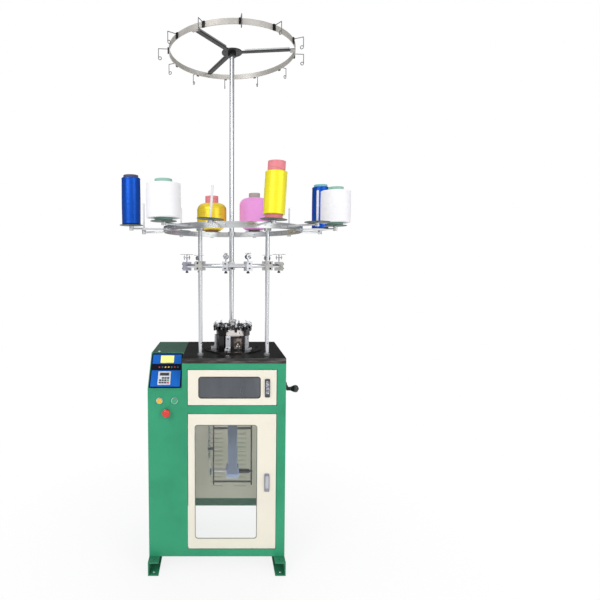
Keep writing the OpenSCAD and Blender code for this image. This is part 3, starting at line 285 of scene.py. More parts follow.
rays = w.node("LightPath", {}).outputs
room = w.node("MixShader", {0: rays["Is Glossy Ray"], 1: background(WHITE, 0.60), 2: background(dimmed, 1.0)})
direct = w.math("MAXIMUM", rays["Is Camera Ray"], rays["Is Transmission Ray"])
around_all = w.node("MixShader", {0: direct, 1: room.outputs[0], 2: background(WHITE, 1.0)})
w.node("OutputWorld", {0: around_all.outputs[0]})


def surface(name, colour, rough=0.4, metal=0.0, vary=0.06, scale=7.0, stretch=(1, 1, 1), grain=0.15,
            grain_scale=350.0, rough_vary=0.08, bevel=0.0009, wear=0.0, wear_colour=None, coat=0.0, specular=0.5,
            graph=None):
    """A finished surface: broad shade changes, fine grain, soft edges and edge wear."""
    g = graph or Graph(name)
    flow = g.mapped(stretch)
    if not isinstance(colour, bpy.types.NodeSocket):
        stops = [(0.30, scaled(colour, 1 - vary * 1.6)), (0.50, colour), (0.72, scaled(colour, 1 + vary))]
        colour = g.ramp(g.noise(scale, 4.0, flow), stops)
    if wear:
        spots = g.ramp(g.noise(42.0, 5.0), [(0.42, (0, 0, 0, 1)), (0.62, WHITE)])
        amount = g.mul(g.mul(g.edges(0.0014), spots), wear)
        colour = g.mix(amount, colour, wear_colour or srgb(200, 200, 196))
    if rough_vary:
        low, high = max(0.03, rough - rough_vary), min(1.0, rough + rough_vary)
        rough = g.between(g.noise(scale * 2.3, 3.0, flow), low, high)
    g.fill({"Base Color": colour, "Roughness": rough, "Metallic": metal, "Specular IOR Level": specular,
            "Coat Weight": coat, "Coat Roughness": 0.12})
    normal = g.bevel(bevel) if bevel else None
    if grain:
        normal = g.bump(g.noise(grain_scale, 2.0, flow), grain, 0.0003, normal)
    if normal is not None:
        g.fill({"Normal": normal})
    return g.mat


def paint(obj, mat):
    obj.data.materials.clear()
    obj.data.materials.append(mat)


g = Graph("green_enamel")
# inner faces at the back that face forward are painted dark green: painted shade
behind = g.mul(g.over(g.xyz()[1], 0.2), g.under(g.normal(1), -0.5))
enamel = g.ramp(g.noise(5.0, 4.0), [(0.30, srgb(46, 148, 108)), (0.50, srgb(52, 158, 116)), (0.72, srgb(55, 164, 121))])
m_green = surface("green_enamel", g.mix(behind, enamel, srgb(24, 84, 58)), graph=g, rough=0.38, scale=5.0, grain=0.10,
                  grain_scale=260, wear=0.5, wear_colour=srgb(150, 190, 170), specular=0.3)
m_runner = surface("green_channel", srgb(48, 132, 98), rough=0.42, vary=0.14, scale=9.0, grain=0.2, wear=0.9,
                   wear_colour=srgb(120, 130, 120))

# Console: green sides, its upward faces painted a darker grey-green: painted shade
g = Graph("console_enamel")
up = g.over(g.normal(2), 0.85)
shade = g.tones(g.noise(6.0), (52, 88, 73), (66, 102, 86))
side_green = g.tones(g.noise(6.0), (50, 142, 105), (62, 160, 120))
m_console = surface("console_enamel", g.mix(up, side_green, shade), rough=0.38, grain=0.10, grain_scale=260, graph=g,
                    wear=0.4, wear_colour=srgb(140, 160, 150), specular=0.2)

g = Graph("back_enamel")
outer = g.over(g.normal(1), 0.2)
inner_grey = g.tones(g.noise(4.0, 5.0), (196, 184, 170), (214, 203, 190))
outer_green = g.tones(g.noise(5.0), (54, 148, 110), (64, 164, 124))
m_back = surface("back_enamel", g.mix(outer, inner_grey, outer_green), rough=0.42, grain=0.12, graph=g)

# Blackened table with a rubbed, greyer front edge
g = Graph("table_black")
edge_face = g.under(g.normal(1), -0.8)
streak = g.noise(14.0, 6.0, g.mapped((0.6, 1, 5)), 0.65)
rubbed = g.ramp(streak, [(0.36, srgb(36, 35, 35)), (0.52, srgb(62, 60, 59)), (0.70, srgb(112, 108, 106))])
flat_black = g.ramp(g.noise(9.0, 6.0), [(0.3, srgb(15, 16, 15)), (0.6, srgb(22, 23, 22)), (0.8, srgb(34, 34, 33))])
m_table = surface("table_black", g.mix(edge_face, flat_black, rubbed), rough=0.33, rough_vary=0.12, grain=0.2,
                  grain_scale=500, graph=g, wear=0.9, wear_colour=srgb(150, 148, 145), bevel=0.0016, specular=0.15)

m_cream = surface("cream_enamel", srgb(244, 238, 222), rough=0.4, vary=0.025, scale=4.0, grain=0.12,
                  grain_scale=260, wear=0.5, wear_colour=srgb(255, 252, 244), coat=0.1)
m_steel = surface("ground_steel", srgb(176, 178, 180), rough=0.28, metal=1.0, vary=0.06, scale=14.0,
                  stretch=(1, 1, 6), grain=0.2, grain_scale=700)
m_shaft = surface("turned_steel", srgb(140, 142, 145), rough=0.34, metal=1.0, vary=0.1, scale=20.0,
                  stretch=(9, 1, 1), grain=0.3, grain_scale=500)
m_chrome = surface("chrome", srgb(216, 218, 221), rough=0.13, metal=1.0, vary=0.02, scale=6.0, rough_vary=0.02,
                   grain=0, bevel=0.0005)
m_post = surface("plated_post", srgb(212, 214, 217), rough=0.27, metal=1.0, vary=0.02, scale=3.0,
                 stretch=(1, 1, 0.35), rough_vary=0.015, grain=0, bevel=0.0)
m_band = surface("satin_band", srgb(196, 198, 198), rough=0.3, metal=1.0, vary=0.08, scale=10.0, stretch=(1, 1, 4),
                 grain=0.2, grain_scale=450, wear=0.4, wear_colour=srgb(235, 235, 235))
m_clamp = surface("cast_aluminium", srgb(214, 213, 210), rough=0.46, metal=0.55, vary=0.08, scale=26.0, grain=0.5,
                  grain_scale=240, bevel=0.0018)
m_wire = surface("wire", srgb(184, 186, 190), rough=0.2, metal=1.0, vary=0.05, grain=0.05, bevel=0.0)
m_bracket = surface("bracket_silver", srgb(204, 206, 211), rough=0.40, metal=0.4, vary=0.04, scale=22.0, grain=0.15,
                    grain_scale=420, bevel=0.0012)

# Creel: satin band, paler arms outside it
g = Graph("creel_satin")
cx, cy = g.xyz()[:2]
arm = g.over(g.length(g.sub(cx, HEAD_X), cy), 0.3575)
band_tone = g.tones(g.noise(10.0, 4.0, g.mapped((1, 1, 4))), (178, 180, 180), (196, 198, 198), (208, 210, 210))
m_creel = surface("creel_satin", g.mix(arm, band_tone, srgb(226, 227, 229)), rough=0.30, metal=0.9, grain=0.06,
                  grain_scale=450, graph=g)

# Roll shaft: bright at the left, black sleeve at the right of the roll
g = Graph("roll_shaft")
sleeve = g.over(g.xyz()[0], HEAD_X + 0.0311)
m_roll_shaft = surface("roll_shaft", g.mix(sleeve, srgb(176, 178, 180), srgb(34, 34, 36)), rough=0.32, metal=0.8,
                       grain=0.15, grain_scale=600, graph=g)

# Frame over the machine: warm satin grey, its upward faces painted lighter: a painted highlight
g = Graph("top_satin")
painted_light_on_top = g.over(g.normal(2), 0.8)
satin = g.tones(g.noise(9.0, 4.0), (180, 176, 170), (194, 190, 184), (204, 201, 196))
m_top = surface("top_satin", g.mix(painted_light_on_top, satin, srgb(222, 220, 216)), rough=0.45, metal=0.35, grain=0.06,
                grain_scale=450, graph=g)

# Hooks of dark wire, held by black clips at the ring
g = Graph("hook_wire")
hx, hy = g.xyz()[:2]
clip = g.under(g.length(g.sub(hx, HEAD_X), g.sub(hy, POLE_Y)), 0.352)
m_hook = surface("hook_wire", g.mix(clip, srgb(118, 118, 121), srgb(30, 30, 31)), rough=0.32, metal=0.7, grain=0.1,
                 graph=g, bevel=0.0)
m_hub = surface("hub_black", srgb(24, 22, 22), rough=0.42, vary=0.2, scale=16.0, grain=0.12, wear=0.25,
                wear_colour=srgb(110, 104, 100))
m_oiled = surface("oiled_black", srgb(22, 21, 22), rough=0.2, vary=0.2, scale=18.0, rough_vary=0.1, grain=0.15,
                  grain_scale=420, coat=0.3, wear=0.8, wear_colour=srgb(130, 122, 116))
m_iron = surface("painted_casting", srgb(66, 70, 72), rough=0.55, vary=0.15, scale=22.0, grain=0.6,
                 grain_scale=200, bevel=0.0016)
m_motor = surface("motor_enamel", srgb(70, 92, 112), rough=0.45, vary=0.1, scale=18.0, grain=0.4, grain_scale=240,
                  wear=0.5)
m_rubber = surface("rubber", srgb(26, 26, 26), rough=0.75, vary=0.15, scale=30.0, grain=0.4)
m_disc = surface("disc_green", srgb(40, 68, 58), rough=0.42, vary=0.12, scale=30.0, grain=0.2)
m_guide = surface("ceramic_white", srgb(232, 232, 226), rough=0.18, vary=0.03, scale=40.0, grain=0.05, coat=0.4)
m_yellow = surface("button_yellow", srgb(238, 184, 62), rough=0.28, vary=0.03, scale=60.0, grain=0.06, coat=0.3)
m_green_cap = surface("button_green", srgb(52, 164, 120), rough=0.28, vary=0.03, scale=60.0, grain=0.06, coat=0.3)
m_red = surface("stop_red", srgb(222, 52, 46), rough=0.3, vary=0.04, scale=60.0, grain=0.08, coat=0.3)
m_latch_dark = surface("latch_dark", srgb(74, 75, 80), rough=0.38, vary=0.08, scale=40.0, grain=0.25)
m_latch_grey = surface("latch_grey", srgb(150, 148, 160), rough=0.4, vary=0.08, scale=40.0, grain=0.25)
m_knob = surface("phenolic_black", srgb(18, 18, 19), rough=0.14, vary=0.1, scale=20.0, grain=0.04, coat=0.6,
                 bevel=0.0)
m_dark_steel = surface("blackened_steel", srgb(38, 38, 40), rough=0.34, metal=0.6, vary=0.12, scale=24.0, grain=0.2)
m_pawl = surface("pawl_green", srgb(38, 66, 54), rough=0.4, vary=0.12, scale=30.0, grain=0.2, wear=0.4)
m_collar = surface("collar_grey", srgb(150, 156, 156), rough=0.34, metal=0.5, vary=0.06, scale=30.0, grain=0.1)
m_socket = surface("screw_black", srgb(48, 48, 50), rough=0.35, metal=0.7, vary=0.1, scale=50.0, grain=0.2,
                   bevel=0.0003)
m_screw = surface("screw_zinc", srgb(190, 192, 196), rough=0.26, metal=1.0, vary=0.06, scale=60.0, grain=0.15,
                  bevel=0.0003)

# Levers of the latches: bright steel with rubbed patches, the lower one more even
g = Graph("latch_lever")
patch = g.ramp(g.noise(120.0, 4.0), [(0.36, srgb(96, 98, 106)), (0.52, srgb(176, 178, 188)),
                                    (0.68, srgb(222, 224, 232))])
m_lever = surface("latch_lever", patch, rough=0.26, metal=0.8, grain=0.2, graph=g)
m_lever_even = surface("latch_lever_even", srgb(196, 197, 206), rough=0.3, metal=0.6, vary=0.10, scale=60.0,
                       grain=0.15)

m_pin = surface("pin_plated", srgb(218, 219, 222), rough=0.34, metal=0.6, vary=0.05, scale=40.0, grain=0.08)
m_sleeve = surface("pin_sleeve", srgb(233, 233, 237), rough=0.3, vary=0.025, scale=40.0, grain=0.05)

# Units on the tension ring: grey block, bright discs and wires above it
g = Graph("tension_unit")
ux, uy, uz = g.xyz()
low = g.under(uz, TENSION_Z + 0.0201)
grain_tone = g.noise(30.0)
cool = g.tones(grain_tone, (150, 150, 168), (176, 176, 194))
warm = g.tones(grain_tone, (178, 178, 174), (202, 202, 197))
silver = g.tones(grain_tone, (188, 189, 194), (214, 215, 220))
block = g.mix(g.over(ux, HEAD_X + 0.12), cool, warm)
block = g.mix(g.under(uy, -0.15), block, silver)
glints = g.ramp(g.noise(170.0, 3.0), [(0.36, srgb(52, 52, 56)), (0.5, srgb(186, 188, 192)),
                                     (0.62, srgb(236, 238, 242))])
block = g.mix(g.under(uz, TENSION_Z - 0.0241), block, srgb(58, 58, 62))
m_unit = surface("tension_unit", g.mix(low, glints, block), rough=0.26, grain=0.2, graph=g, bevel=0.0012)
g.fill({"Metallic": g.sub(1.0, g.mul(low, 0.7))})

# Feeders: dark blocks with bright fingers
g = Graph("feeder_metal")
fx, fy, fz = g.xyz()
inner = g.under(g.length(g.sub(fx, HEAD_X), fy), 0.0855)
tall = g.math("MAXIMUM", inner, g.over(fz, FEEDER_Z + 0.0141))
m_feeder = surface("feeder_metal", g.mix(tall, srgb(44, 44, 47), srgb(204, 204, 206)), rough=0.24, metal=0.9,
                   grain=0.2, graph=g)

# Cam ring: painted reflections, bright at the front, dark at the left, grey at the right
g = Graph("cam_ring")
rx, ry = g.xyz()[:2]
rx = g.sub(rx, HEAD_X)
ring_angle = g.math("ARCTAN2", ry, rx)
brush = g.noise(12.0, 4.0, g.mapped((1, 1, 5)))
painted_bright_reflection = g.tones(brush, (206, 200, 198), (226, 220, 217), (238, 234, 232))
painted_grey_reflection = g.tones(brush, (64, 64, 67), (96, 96, 99))
painted_dark_reflection = g.tones(brush, (20, 20, 22), (40, 39, 40))
at_front = g.mul(g.over(ring_angle, math.radians(-114)), g.under(ring_angle, math.radians(-50)))
at_right = g.under(g.math("ABSOLUTE", ring_angle), math.radians(62))
m_cam_ring = surface("cam_ring", g.mix(at_front, g.mix(at_right, painted_dark_reflection, painted_grey_reflection), painted_bright_reflection), rough=0.24,
                     metal=0.85, grain=0.12, grain_scale=600, graph=g)

# Housing: black outside, brown oiled metal in the windows cut into it
g = Graph("cam_housing")
px, py = g.xyz()[:2]
cut_in = g.under(g.length(g.sub(px, HEAD_X), py), 0.0835)
oil = g.ramp(g.noise(60.0, 6.0), [(0.32, srgb(30, 24, 22)), (0.5, srgb(82, 67, 60)), (0.68, srgb(158, 144, 134))])
m_housing = surface("cam_housing", g.mix(cut_in, srgb(24, 23, 24), oil), rough=0.2, grain=0.2, coat=0.2, graph=g,
                    wear=0.8, wear_colour=srgb(130, 122, 116))
g.fill({"Metallic": 0.55})

# Panel: black film with two blue fields
g = Graph("panel_film")
field = g.over(g.on_slope()[2], 0.0042)
blue = g.tones(g.noise(9.0), (22, 98, 196), (32, 112, 212))
m_panel = surface("panel_film", g.mix(field, srgb(12, 15, 28), blue), rough=0.3, grain=0.05, specular=0.1, graph=g)

# Lit display with fine cell rows
g = Graph("lcd_glow")
CELL_PITCH = 0.0022
rows = g.over(g.sine(g.mul(g.on_slope()[1], 2 * PI / CELL_PITCH)), 0.55)
glow = g.mix(g.mul(rows, 0.10), srgb(247, 247, 140), srgb(190, 196, 90))
m_lcd = surface("lcd_glow", glow, rough=0.22, grain=0.02, graph=g)
g.fill({"Emission Color": glow, "Emission Strength": 0.35})


def pane(name, colour, alpha, rough, smear):
    g = Graph(name)
    clouds = g.noise(7.0, 5.0, g.mapped((1, 1, 0.35)), 0.6)
    tint = g.ramp(clouds, [(0.3, scaled(colour, 1 - smear)), (0.7, scaled(colour, 1 + smear))])
    g.fill({"Base Color": tint, "Roughness": g.between(g.noise(30.0, 3.0), rough, rough * 2.4),
            "Alpha": g.between(clouds, alpha * 0.92, min(1.0, alpha * 1.08)), "Specular IOR Level": 0.5,
            "Coat Weight": 0.5, "Coat Roughness": 0.04})
    return g.mat


m_smoked = pane("smoked_pane", srgb(84, 89, 96), 0.86, 0.08, 0.22)
m_clear = pane("clear_pane", srgb(206, 214, 216), 0.05, 0.05, 0.05)

CAD_FINISH = {
    "runner_left": m_runner, "runner_right": m_runner, "cabinet_shell": m_green, "back_panel": m_back,
    "table_top": m_table, "console_housing": m_console, "console_panel": m_panel, "lcd_screen": m_lcd,
    "hinge_pins": m_shaft, "upper_door": m_cream, "lower_door": m_cream, "upper_window": m_smoked,
    "lower_window": m_clear, "upper_latch_plate": m_latch_dark, "lower_latch_plate": m_latch_grey,
    "upper_latch_lever": m_lever, "lower_latch_lever": m_lever_even, "button_bezels": m_chrome,
    "button_yellow": m_yellow, "button_green": m_green_cap, "stop_stem": m_chrome, "stop_head": m_red,
    "bed_plate": m_oiled, "head_bearing": m_steel, "cam_housing": m_housing, "cam_ring": m_cam_ring,
    "head_brackets": m_bracket, "needle_cylinder": m_steel, "needles": m_chrome, "feeder_ring": m_oiled,
    "feeders": m_feeder, "centre_guide": m_guide, "crown_gear": m_shaft, "shaft_hangers": m_iron,
    "drive_shaft": m_shaft, "motor": m_motor, "motor_pulley": m_shaft, "drive_belt": m_rubber,
    "crank_shaft": m_dark_steel, "crank_handle": m_knob, "takedown_frame": m_dark_steel,
    "takeup_roller": m_roll_shaft, "pawl_lever": m_pawl, "pawl_rod": m_steel,
    "ring_clamps": m_clamp, "tension_ring": m_post, "tension_units": m_unit, "creel_frame": m_creel,
    "cone_discs": m_disc, "top_hub": m_hub, "top_ring": m_top, "yarn_hooks": m_hook,
}
for name, mat in CAD_FINISH.items():
    paint(cad[name], mat)


# Mesh tools

def piece(name, bm, mat, body, replaces=(), sharp=35, place=None):
    """Makes an object of the mesh and lets it ride on its body. place is the object's own matrix."""
    bmesh.ops.recalc_face_normals(bm, faces=bm.faces[:])
    limit = math.radians(sharp)
    for f in bm.faces:
        f.smooth = True
    for e in bm.edges:
        if len(e.link_faces) == 2:
            e.smooth = e.calc_face_angle(0.0) < limit
    mesh = bpy.data.meshes.new(name)
    bm.to_mesh(mesh)
    bm.free()
    mesh.materials.append(mat)
    obj = bpy.data.objects.new(name, mesh)
    scene.collection.objects.link(obj)
    if place is not None:
        obj.matrix_world = place
    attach(obj, body)
    if replaces:
        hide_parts(*replaces)
    return obj


def revolve(bm, profile, matrix=Matrix(), segs=48, closed=False):
    """Turns a profile of (radius, height) about Z. A radius may be a function of the angle."""
    rings = []
    for r, z in profile:
        if not callable(r) and r < 1e-7:
            rings.append([bm.verts.new(matrix @ Vector((0, 0, z)))])
            continue
        ring = []
        for i in range(segs):
            a = 2 * PI * i / segs
            q = r(a) if callable(r) else r
            ring.append(bm.verts.new(matrix @ Vector((q * math.cos(a), q * math.sin(a), z))))
        rings.append(ring)
    pairs = list(zip(rings, rings[1:]))
    if closed:
        pairs.append((rings[-1], rings[0]))
    for a, b in pairs:
        for i in range(segs):
            j = (i + 1) % segs
            if len(a) == 1:
                bm.faces.new((a[0], b[i], b[j]))
            elif len(b) == 1:
                bm.faces.new((a[i], a[j], b[0]))
            else:
                bm.faces.new((a[i], a[j], b[j], b[i]))


def sweep(bm, points, radius, segs=8, closed=False):
    """A round wire through the points."""
    pts = [Vector(p) for p in points]
    circle = [(math.cos(2 * PI * k / segs), math.sin(2 * PI * k / segs)) for k in range(segs)]
    n = len(pts)
    rings = []
    up = None
    for i, p in enumerate(pts):
        before = pts[(i - 1) % n] if closed or i else pts[0]
        after = pts[(i + 1) % n] if closed or i < n - 1 else pts[-1]
        along = (after - before).normalized()
        if up is None:
            up = along.orthogonal().normalized()
        up = (up - along * up.dot(along)).normalized()
        across = along.cross(up)
        rings.append([bm.verts.new(p + (up * c + across * s) * radius) for c, s in circle])
    for i in range(n if closed else n - 1):
        a, b = rings[i], rings[(i + 1) % n]
        for k in range(segs):
            j = (k + 1) % segs
            bm.faces.new((a[k], a[j], b[j], b[k]))
    if not closed:
        bm.faces.new(rings[0])
        bm.faces.new(rings[-1])


def rounded_box(bm, low, high, bevel=0.0006, matrix=Matrix(), segments=2):
    low, high = Vector(low), Vector(high)
    verts = bmesh.ops.create_cube(bm, size=1)["verts"]
    for v in verts:
        v.co = matrix @ (Vector([(v.co[k] + 0.5) * (high[k] - low[k]) + low[k] for k in range(3)]))
    edges = list({e for v in verts for e in v.link_edges})
    bmesh.ops.bevel(bm, geom=edges, offset=bevel, segments=segments, affect="EDGES", profile=0.5, clamp_overlap=True)


def hexagon(size):
    """Radius of a hexagon by angle, from its radius across the corners."""
    return lambda a: size * math.cos(PI / 6) / math.cos((a % (PI / 3)) - PI / 6)


def facing(place, outward):
    """Matrix whose Z axis points outwards from the place."""
    return Matrix.Translation(Vector(place)) @ Vector(outward).to_track_quat("Z", "Y").to_matrix().to_4x4()


def cap_screw(bm, place, outward, r=0.004, h=0.0035):
    """Socket head screw, its hexagonal recess cut in."""
    m = facing(place, outward)
    six = hexagon(r * 0.52)
    revolve(bm, [(r * 0.98, -0.0006), (r, 0), (r, h * 0.85), (r * 0.93, h), (r * 0.66, h), (six, h * 0.98),
                 (six, h * 0.35), (0, h * 0.32)], m, 24)


def pan_screw(bm, place, outward, r=0.0035, h=0.0018):
    """Low domed screw with a cross recess."""
    m = facing(place, outward)

    def cross(a):
        c = abs(math.cos(2 * a))
        return r * (0.16 + 0.38 * c ** 3)
    revolve(bm, [(r, -0.0004), (r, h * 0.25), (r * 0.9, h * 0.68), (r * 0.66, h * 0.97), (cross, h),
                 (lambda a: cross(a) * 0.8, h * 0.35), (0, h * 0.3)], m, 32)


def rect_path(x0, z0, x1, z1, r, y, steps=6):
    """Closed rounded rectangle in the plane of the front."""
    pts = []
    for cx, cz, start in ((x1 - r, z1 - r, 0), (x0 + r, z1 - r, 90), (x0 + r, z0 + r, 180), (x1 - r, z0 + r, 270)):
        for i in range(steps + 1):
            a = math.radians(start + 90 * i / steps)
            pts.append((cx + r * math.cos(a), y, cz + r * math.sin(a)))
    return pts


def around(radius, degrees, z, centre=(HEAD_X, 0.0)):
    a = math.radians(degrees)
    return Vector((centre[0] + radius * math.cos(a), centre[1] + radius * math.sin(a), z))


def head_turn(degrees):
    return Matrix.Translation((HEAD_X, 0, 0)) @ Matrix.Rotation(math.radians(degrees), 4, "Z")


def outward(degrees):
    """Direction away from the head's axis."""
    return around(1, degrees, 0) - Vector((HEAD_X, 0, 0))


# Yarn packages on their paper tubes

# holders as (angle, lean, height over the usual level in mm)
HOLDERS = [(19.5, 0, 0), (48, 0, 4), (73.5, 0, 10), (103, 0, 7), (125.5, 0, 10), (160.5, 0, 4), (192, 0, 0),
           (233, 0, -8), (258, 3.8, -8), (287.5, 2.9, -8), (314.5, 0, -8), (351, 0, 0)]


def at_holder(i, lift=0.003):
    angle, lean, height = HOLDERS[i]
    p = around(HOLDER_R, angle, DISC_Z + height / 1000)
    return Matrix.Translation(p) @ Matrix.Rotation(math.radians(lean), 4, "Y") @ Matrix.Translation((0, 0, lift))


def wound(name, colour, gloss, bands=0.05, sheen=0.2, specular=0.5, metal=0.0):
    """Yarn laid in crossing helices, with the faint bands that the layers leave."""
    pitch, turns, band_pitch = 0.0017, 38.0, 0.0125
    g = Graph(name)
    x, y, z = g.xyz()
    run = g.mul(g.add(z, g.length(x, y)), 2 * PI / pitch)
    lay = g.mul(g.math("ARCTAN2", y, x), turns)
    thread = g.math("MAXIMUM", g.sine(g.add(run, lay)), g.sine(g.sub(run, lay)))
    wide = g.sine(g.add(g.mul(run, pitch / band_pitch), g.mul(g.noise(18.0), 7.0)))
    slow = g.noise(22.0, 4.0, g.mapped((1, 1, 2.6)))
    tone = g.add(g.mul(g.between(thread, -1.2, 1.2), 0.10), g.between(wide, 0.44, 0.56))
    tone = g.add(tone, g.mul(g.sub(slow, 0.5), 0.5))
    stops = [(0.15, scaled(colour, 1 - bands * 3.2)), (0.5, colour), (0.85, scaled(colour, 1 + bands))]
    height = g.add(g.mul(thread, 0.5), g.mul(wide, 0.3))
    g.fill({"Base Color": g.ramp(tone, stops), "Roughness": g.between(slow, gloss - 0.06, gloss + 0.08),
            "Metallic": metal, "Sheen Weight": sheen, "Sheen Roughness": 0.4, "Specular IOR Level": specular,
            "Normal": g.bump(height, 0.22, 0.00022)})
    return g.mat


def paper(name, colour):
    """Spiral-wound paper tube."""
    seam_pitch = 0.045
    g = Graph(name)
    x, y, z = g.xyz()
    line = g.over(g.sine(g.add(g.mul(z, 2 * PI / seam_pitch), g.math("ARCTAN2", y, x))), 0.985)
    tone = g.ramp(g.noise(45.0, 5.0), [(0.3, scaled(colour, 0.86)), (0.7, colour)])
    height = g.sub(g.mul(g.noise(500.0), 0.3), g.mul(line, 0.6))
    g.fill({"Base Color": g.mix(g.mul(line, 0.5), tone, scaled(colour, 0.55)),
            "Roughness": g.between(g.noise(90.0), 0.5, 0.72), "Normal": g.bump(height, 0.4, 0.0003)})
    return g.mat


m_blue_yarn = wound("yarn_blue", srgb(14, 82, 190), 0.34, bands=0.08, sheen=0.0, specular=0.3, metal=0.6)
m_white_yarn = wound("yarn_white", srgb(251, 250, 255), 0.5, bands=0.012)
m_yellow_yarn = wound("yarn_yellow", srgb(254, 240, 32), 0.36, bands=0.04, metal=0.2)
m_gold_yarn = wound("yarn_gold", srgb(255, 222, 52), 0.32, bands=0.11, metal=0.45, sheen=0.1)
m_pink_yarn = wound("yarn_pink", srgb(255, 166, 238), 0.5, bands=0.04)
m_salmon = paper("tube_salmon", srgb(238, 140, 148))
m_mint = paper("tube_mint", srgb(150, 200, 184))
m_aqua = paper("tube_aqua", srgb(128, 200, 202))
m_tube_grey = paper("tube_grey", srgb(186, 178, 172))
m_tube_dark = paper("tube_dark", srgb(76, 78, 104))


def package(i, name, shape, outer, tube, height, below, above, yarn_mat, tube_mat, replaces=()):
    """Yarn of two radii and a height on its tube, which shows below and above it."""
    place = at_holder(i)
    wave = 0.0005
    top = below + height
    if shape == "cylinder":
        e = 0.0055
        arc = [(outer - e + e * math.sin(math.radians(a)), e * math.cos(math.radians(a))) for a in (22, 45, 68, 90)]
        profile = [(tube, below + 0.001), (outer * 0.55 + tube * 0.45, below + 0.0004), (outer - e, below)]
        profile += [(r, below + e - z) for r, z in arc]
        steps = 44
        for k in range(1, steps):
            t = k / steps
            swell = 0.0009 * math.sin(PI * t) - 0.0009
            ripple = wave * 0.35 * math.sin(19 * t * PI) * math.sin(PI * t)
            profile.append((outer + swell + ripple, below + e + (height - 2 * e) * t))
        profile += [(r, top - e + z) for r, z in reversed(arc)]
        profile += [(outer - e, top), (outer * 0.5 + tube * 0.5, top - 0.0004), (tube, top - 0.001)]
    else:
        profile = [(tube, below - 0.022)]
        profile += [(outer - inset, below + z) for inset, z in (
            (0.038, -0.022), (0.024, -0.012), (0.012, 0), (0.005, 0.007), (0.002, 0.014), (0, 0.028))]
        for k in range(1, 22):
            t = k / 22
            profile.append((outer - 0.0004 + wave * 0.4 * math.sin(9 * t * PI), below + 0.028 + (height - 0.066) * t))
        profile += [(outer - inset, top - drop) for inset, drop in (
            (0, 0.038), (0.0018, 0.030), (0.005, 0.022), (0.011, 0.0135), (0.018, 0.007), (0.027, 0.0025), (0.036, 0))]
        profile.append((tube, top + 0.001))
    bm = bmesh.new()
    revolve(bm, profile, segs=112)
    # the last turns of yarn, laid over the package
    wrap = []
    r = outer + 0.0001
    for k in range(170):
        t = k / 169
        a = 2 * PI * 2.3 * t + i
        wrap.append((math.cos(a) * r, math.sin(a) * r, below + height * (0.32 + 0.30 * t)))
    sweep(bm, wrap, 0.0005, 5)
    piece("yarn_" + name, bm, yarn_mat, "machine", replaces, 60, place)
    bm = bmesh.new()
    mouth = top + above + 0.0003
    wall = 0.003
    lip = 0.0007
    revolve(bm, [(tube - wall, 0.0003), (tube, 0.0003), (tube, 0.0015), (tube, mouth - lip * 2),
                 (tube - lip * 0.4, mouth - lip * 0.4), (tube - lip * 1.4, mouth), (tube - wall + lip, mouth),
                 (tube - wall, mouth - lip)], segs=72, closed=True)
    # paper turned in at the mouth
    revolve(bm, [(tube - wall, mouth - 0.004), (tube - wall - 0.0005, mouth - 0.006), (tube - wall, mouth - 0.014)],
            segs=72)
    piece("tube_" + name, bm, tube_mat, "machine", (), 40, place)


package(6, "blue_left", "cylinder", 0.0455, 0.036, 0.226, 0.001, 0.012, m_blue_yarn, m_tube_dark,
        ("yarn_cylinders", "cone_tubes"))
package(0, "blue_right", "cylinder", 0.0455, 0.036, 0.226, 0.001, 0.012, m_blue_yarn, m_aqua)
package(9, "yellow", "cylinder", 0.0455, 0.0365, 0.176, 0.017, 0.040, m_yellow_yarn, m_salmon)
package(7, "white_left", "cylinder", 0.074, 0.0375, 0.146, 0.011, 0.018, m_white_yarn, m_mint)
package(11, "white_right", "cylinder", 0.0733, 0.0375, 0.156, 0.012, 0.018, m_white_yarn, m_mint)
package(2, "pink", "cone", 0.091, 0.034, 0.170, 0.031, 0.030, m_pink_yarn, m_tube_grey, ("yarn_cones",))
package(3, "gold", "cone", 0.090, 0.040, 0.144, 0.030, 0.044, m_gold_yarn, m_salmon)


# Knitted tube that runs down from the needles to the roll

def knit(name, colour):
    """Loops in columns and rows, with wide ribs."""
    wale, course, rib = 0.0022, 0.0026, 0.011
    g = Graph(name)
    x, _, z = g.xyz()
    wales = g.sine(g.mul(x, 2 * PI / wale))
    courses = g.sine(g.add(g.mul(z, 2 * PI / course), g.mul(g.math("ABSOLUTE", wales), 1.2)))
    ribs = g.sine(g.mul(x, 2 * PI / rib))
    slow = g.noise(26.0, 4.0, g.mapped((1, 1, 0.5)))
    tone = g.add(g.mul(g.add(wales, courses), 0.10), g.between(slow, 0.2, 0.8))
    dyed = g.ramp(tone, [(0.15, scaled(colour, 0.62)), (0.5, colour), (0.85, scaled(colour, 1.35))])
    height = g.add(g.add(wales, courses), g.mul(ribs, 0.8))
    # the loops on the needles lie in the metal's shade
    g.fill({"Base Color": g.mix(g.over(z, 1.139), dyed, srgb(66, 68, 76)), "Roughness": 0.8, "Sheen Weight": 0.4,
            "Normal": g.bump(height, 0.7, 0.0005)})
    return g.mat


m_knit = knit("knit_blue", srgb(56, 64, 80))
# the same knit on the roll, painted lighter: painted light
m_knit_painted_lighter = knit("knit_roll", srgb(80, 94, 124))

# sections as (height, half width, half depth, middle's Y)
SECTIONS = [
    (1.1565, 0.0525, 0.0525, 0), (1.151, 0.0500, 0.0500, 0), (1.140, 0.0475, 0.0475, 0),
    (1.08, 0.0450, 0.0450, 0), (1.00, 0.0425, 0.0425, 0), (0.93, 0.0415, 0.0400, 0),
    (0.877, 0.0405, 0.0370, 0), (0.82, 0.0360, 0.0270, 0), (0.76, 0.0320, 0.0165, 0),
    (0.71, 0.0284, 0.0080, 0), (0.672, 0.0256, 0.0034, 0), (0.60, 0.0246, 0.0028, -0.0093),
    (0.52, 0.0243, 0.0027, -0.0215), (0.45, 0.0246, 0.0028, -0.0320), (0.405, 0.0250, 0.0028, -0.0386),
    (0.384, 0.0250, 0.0028, -0.0412)]
ROW_HEIGHT = 0.006


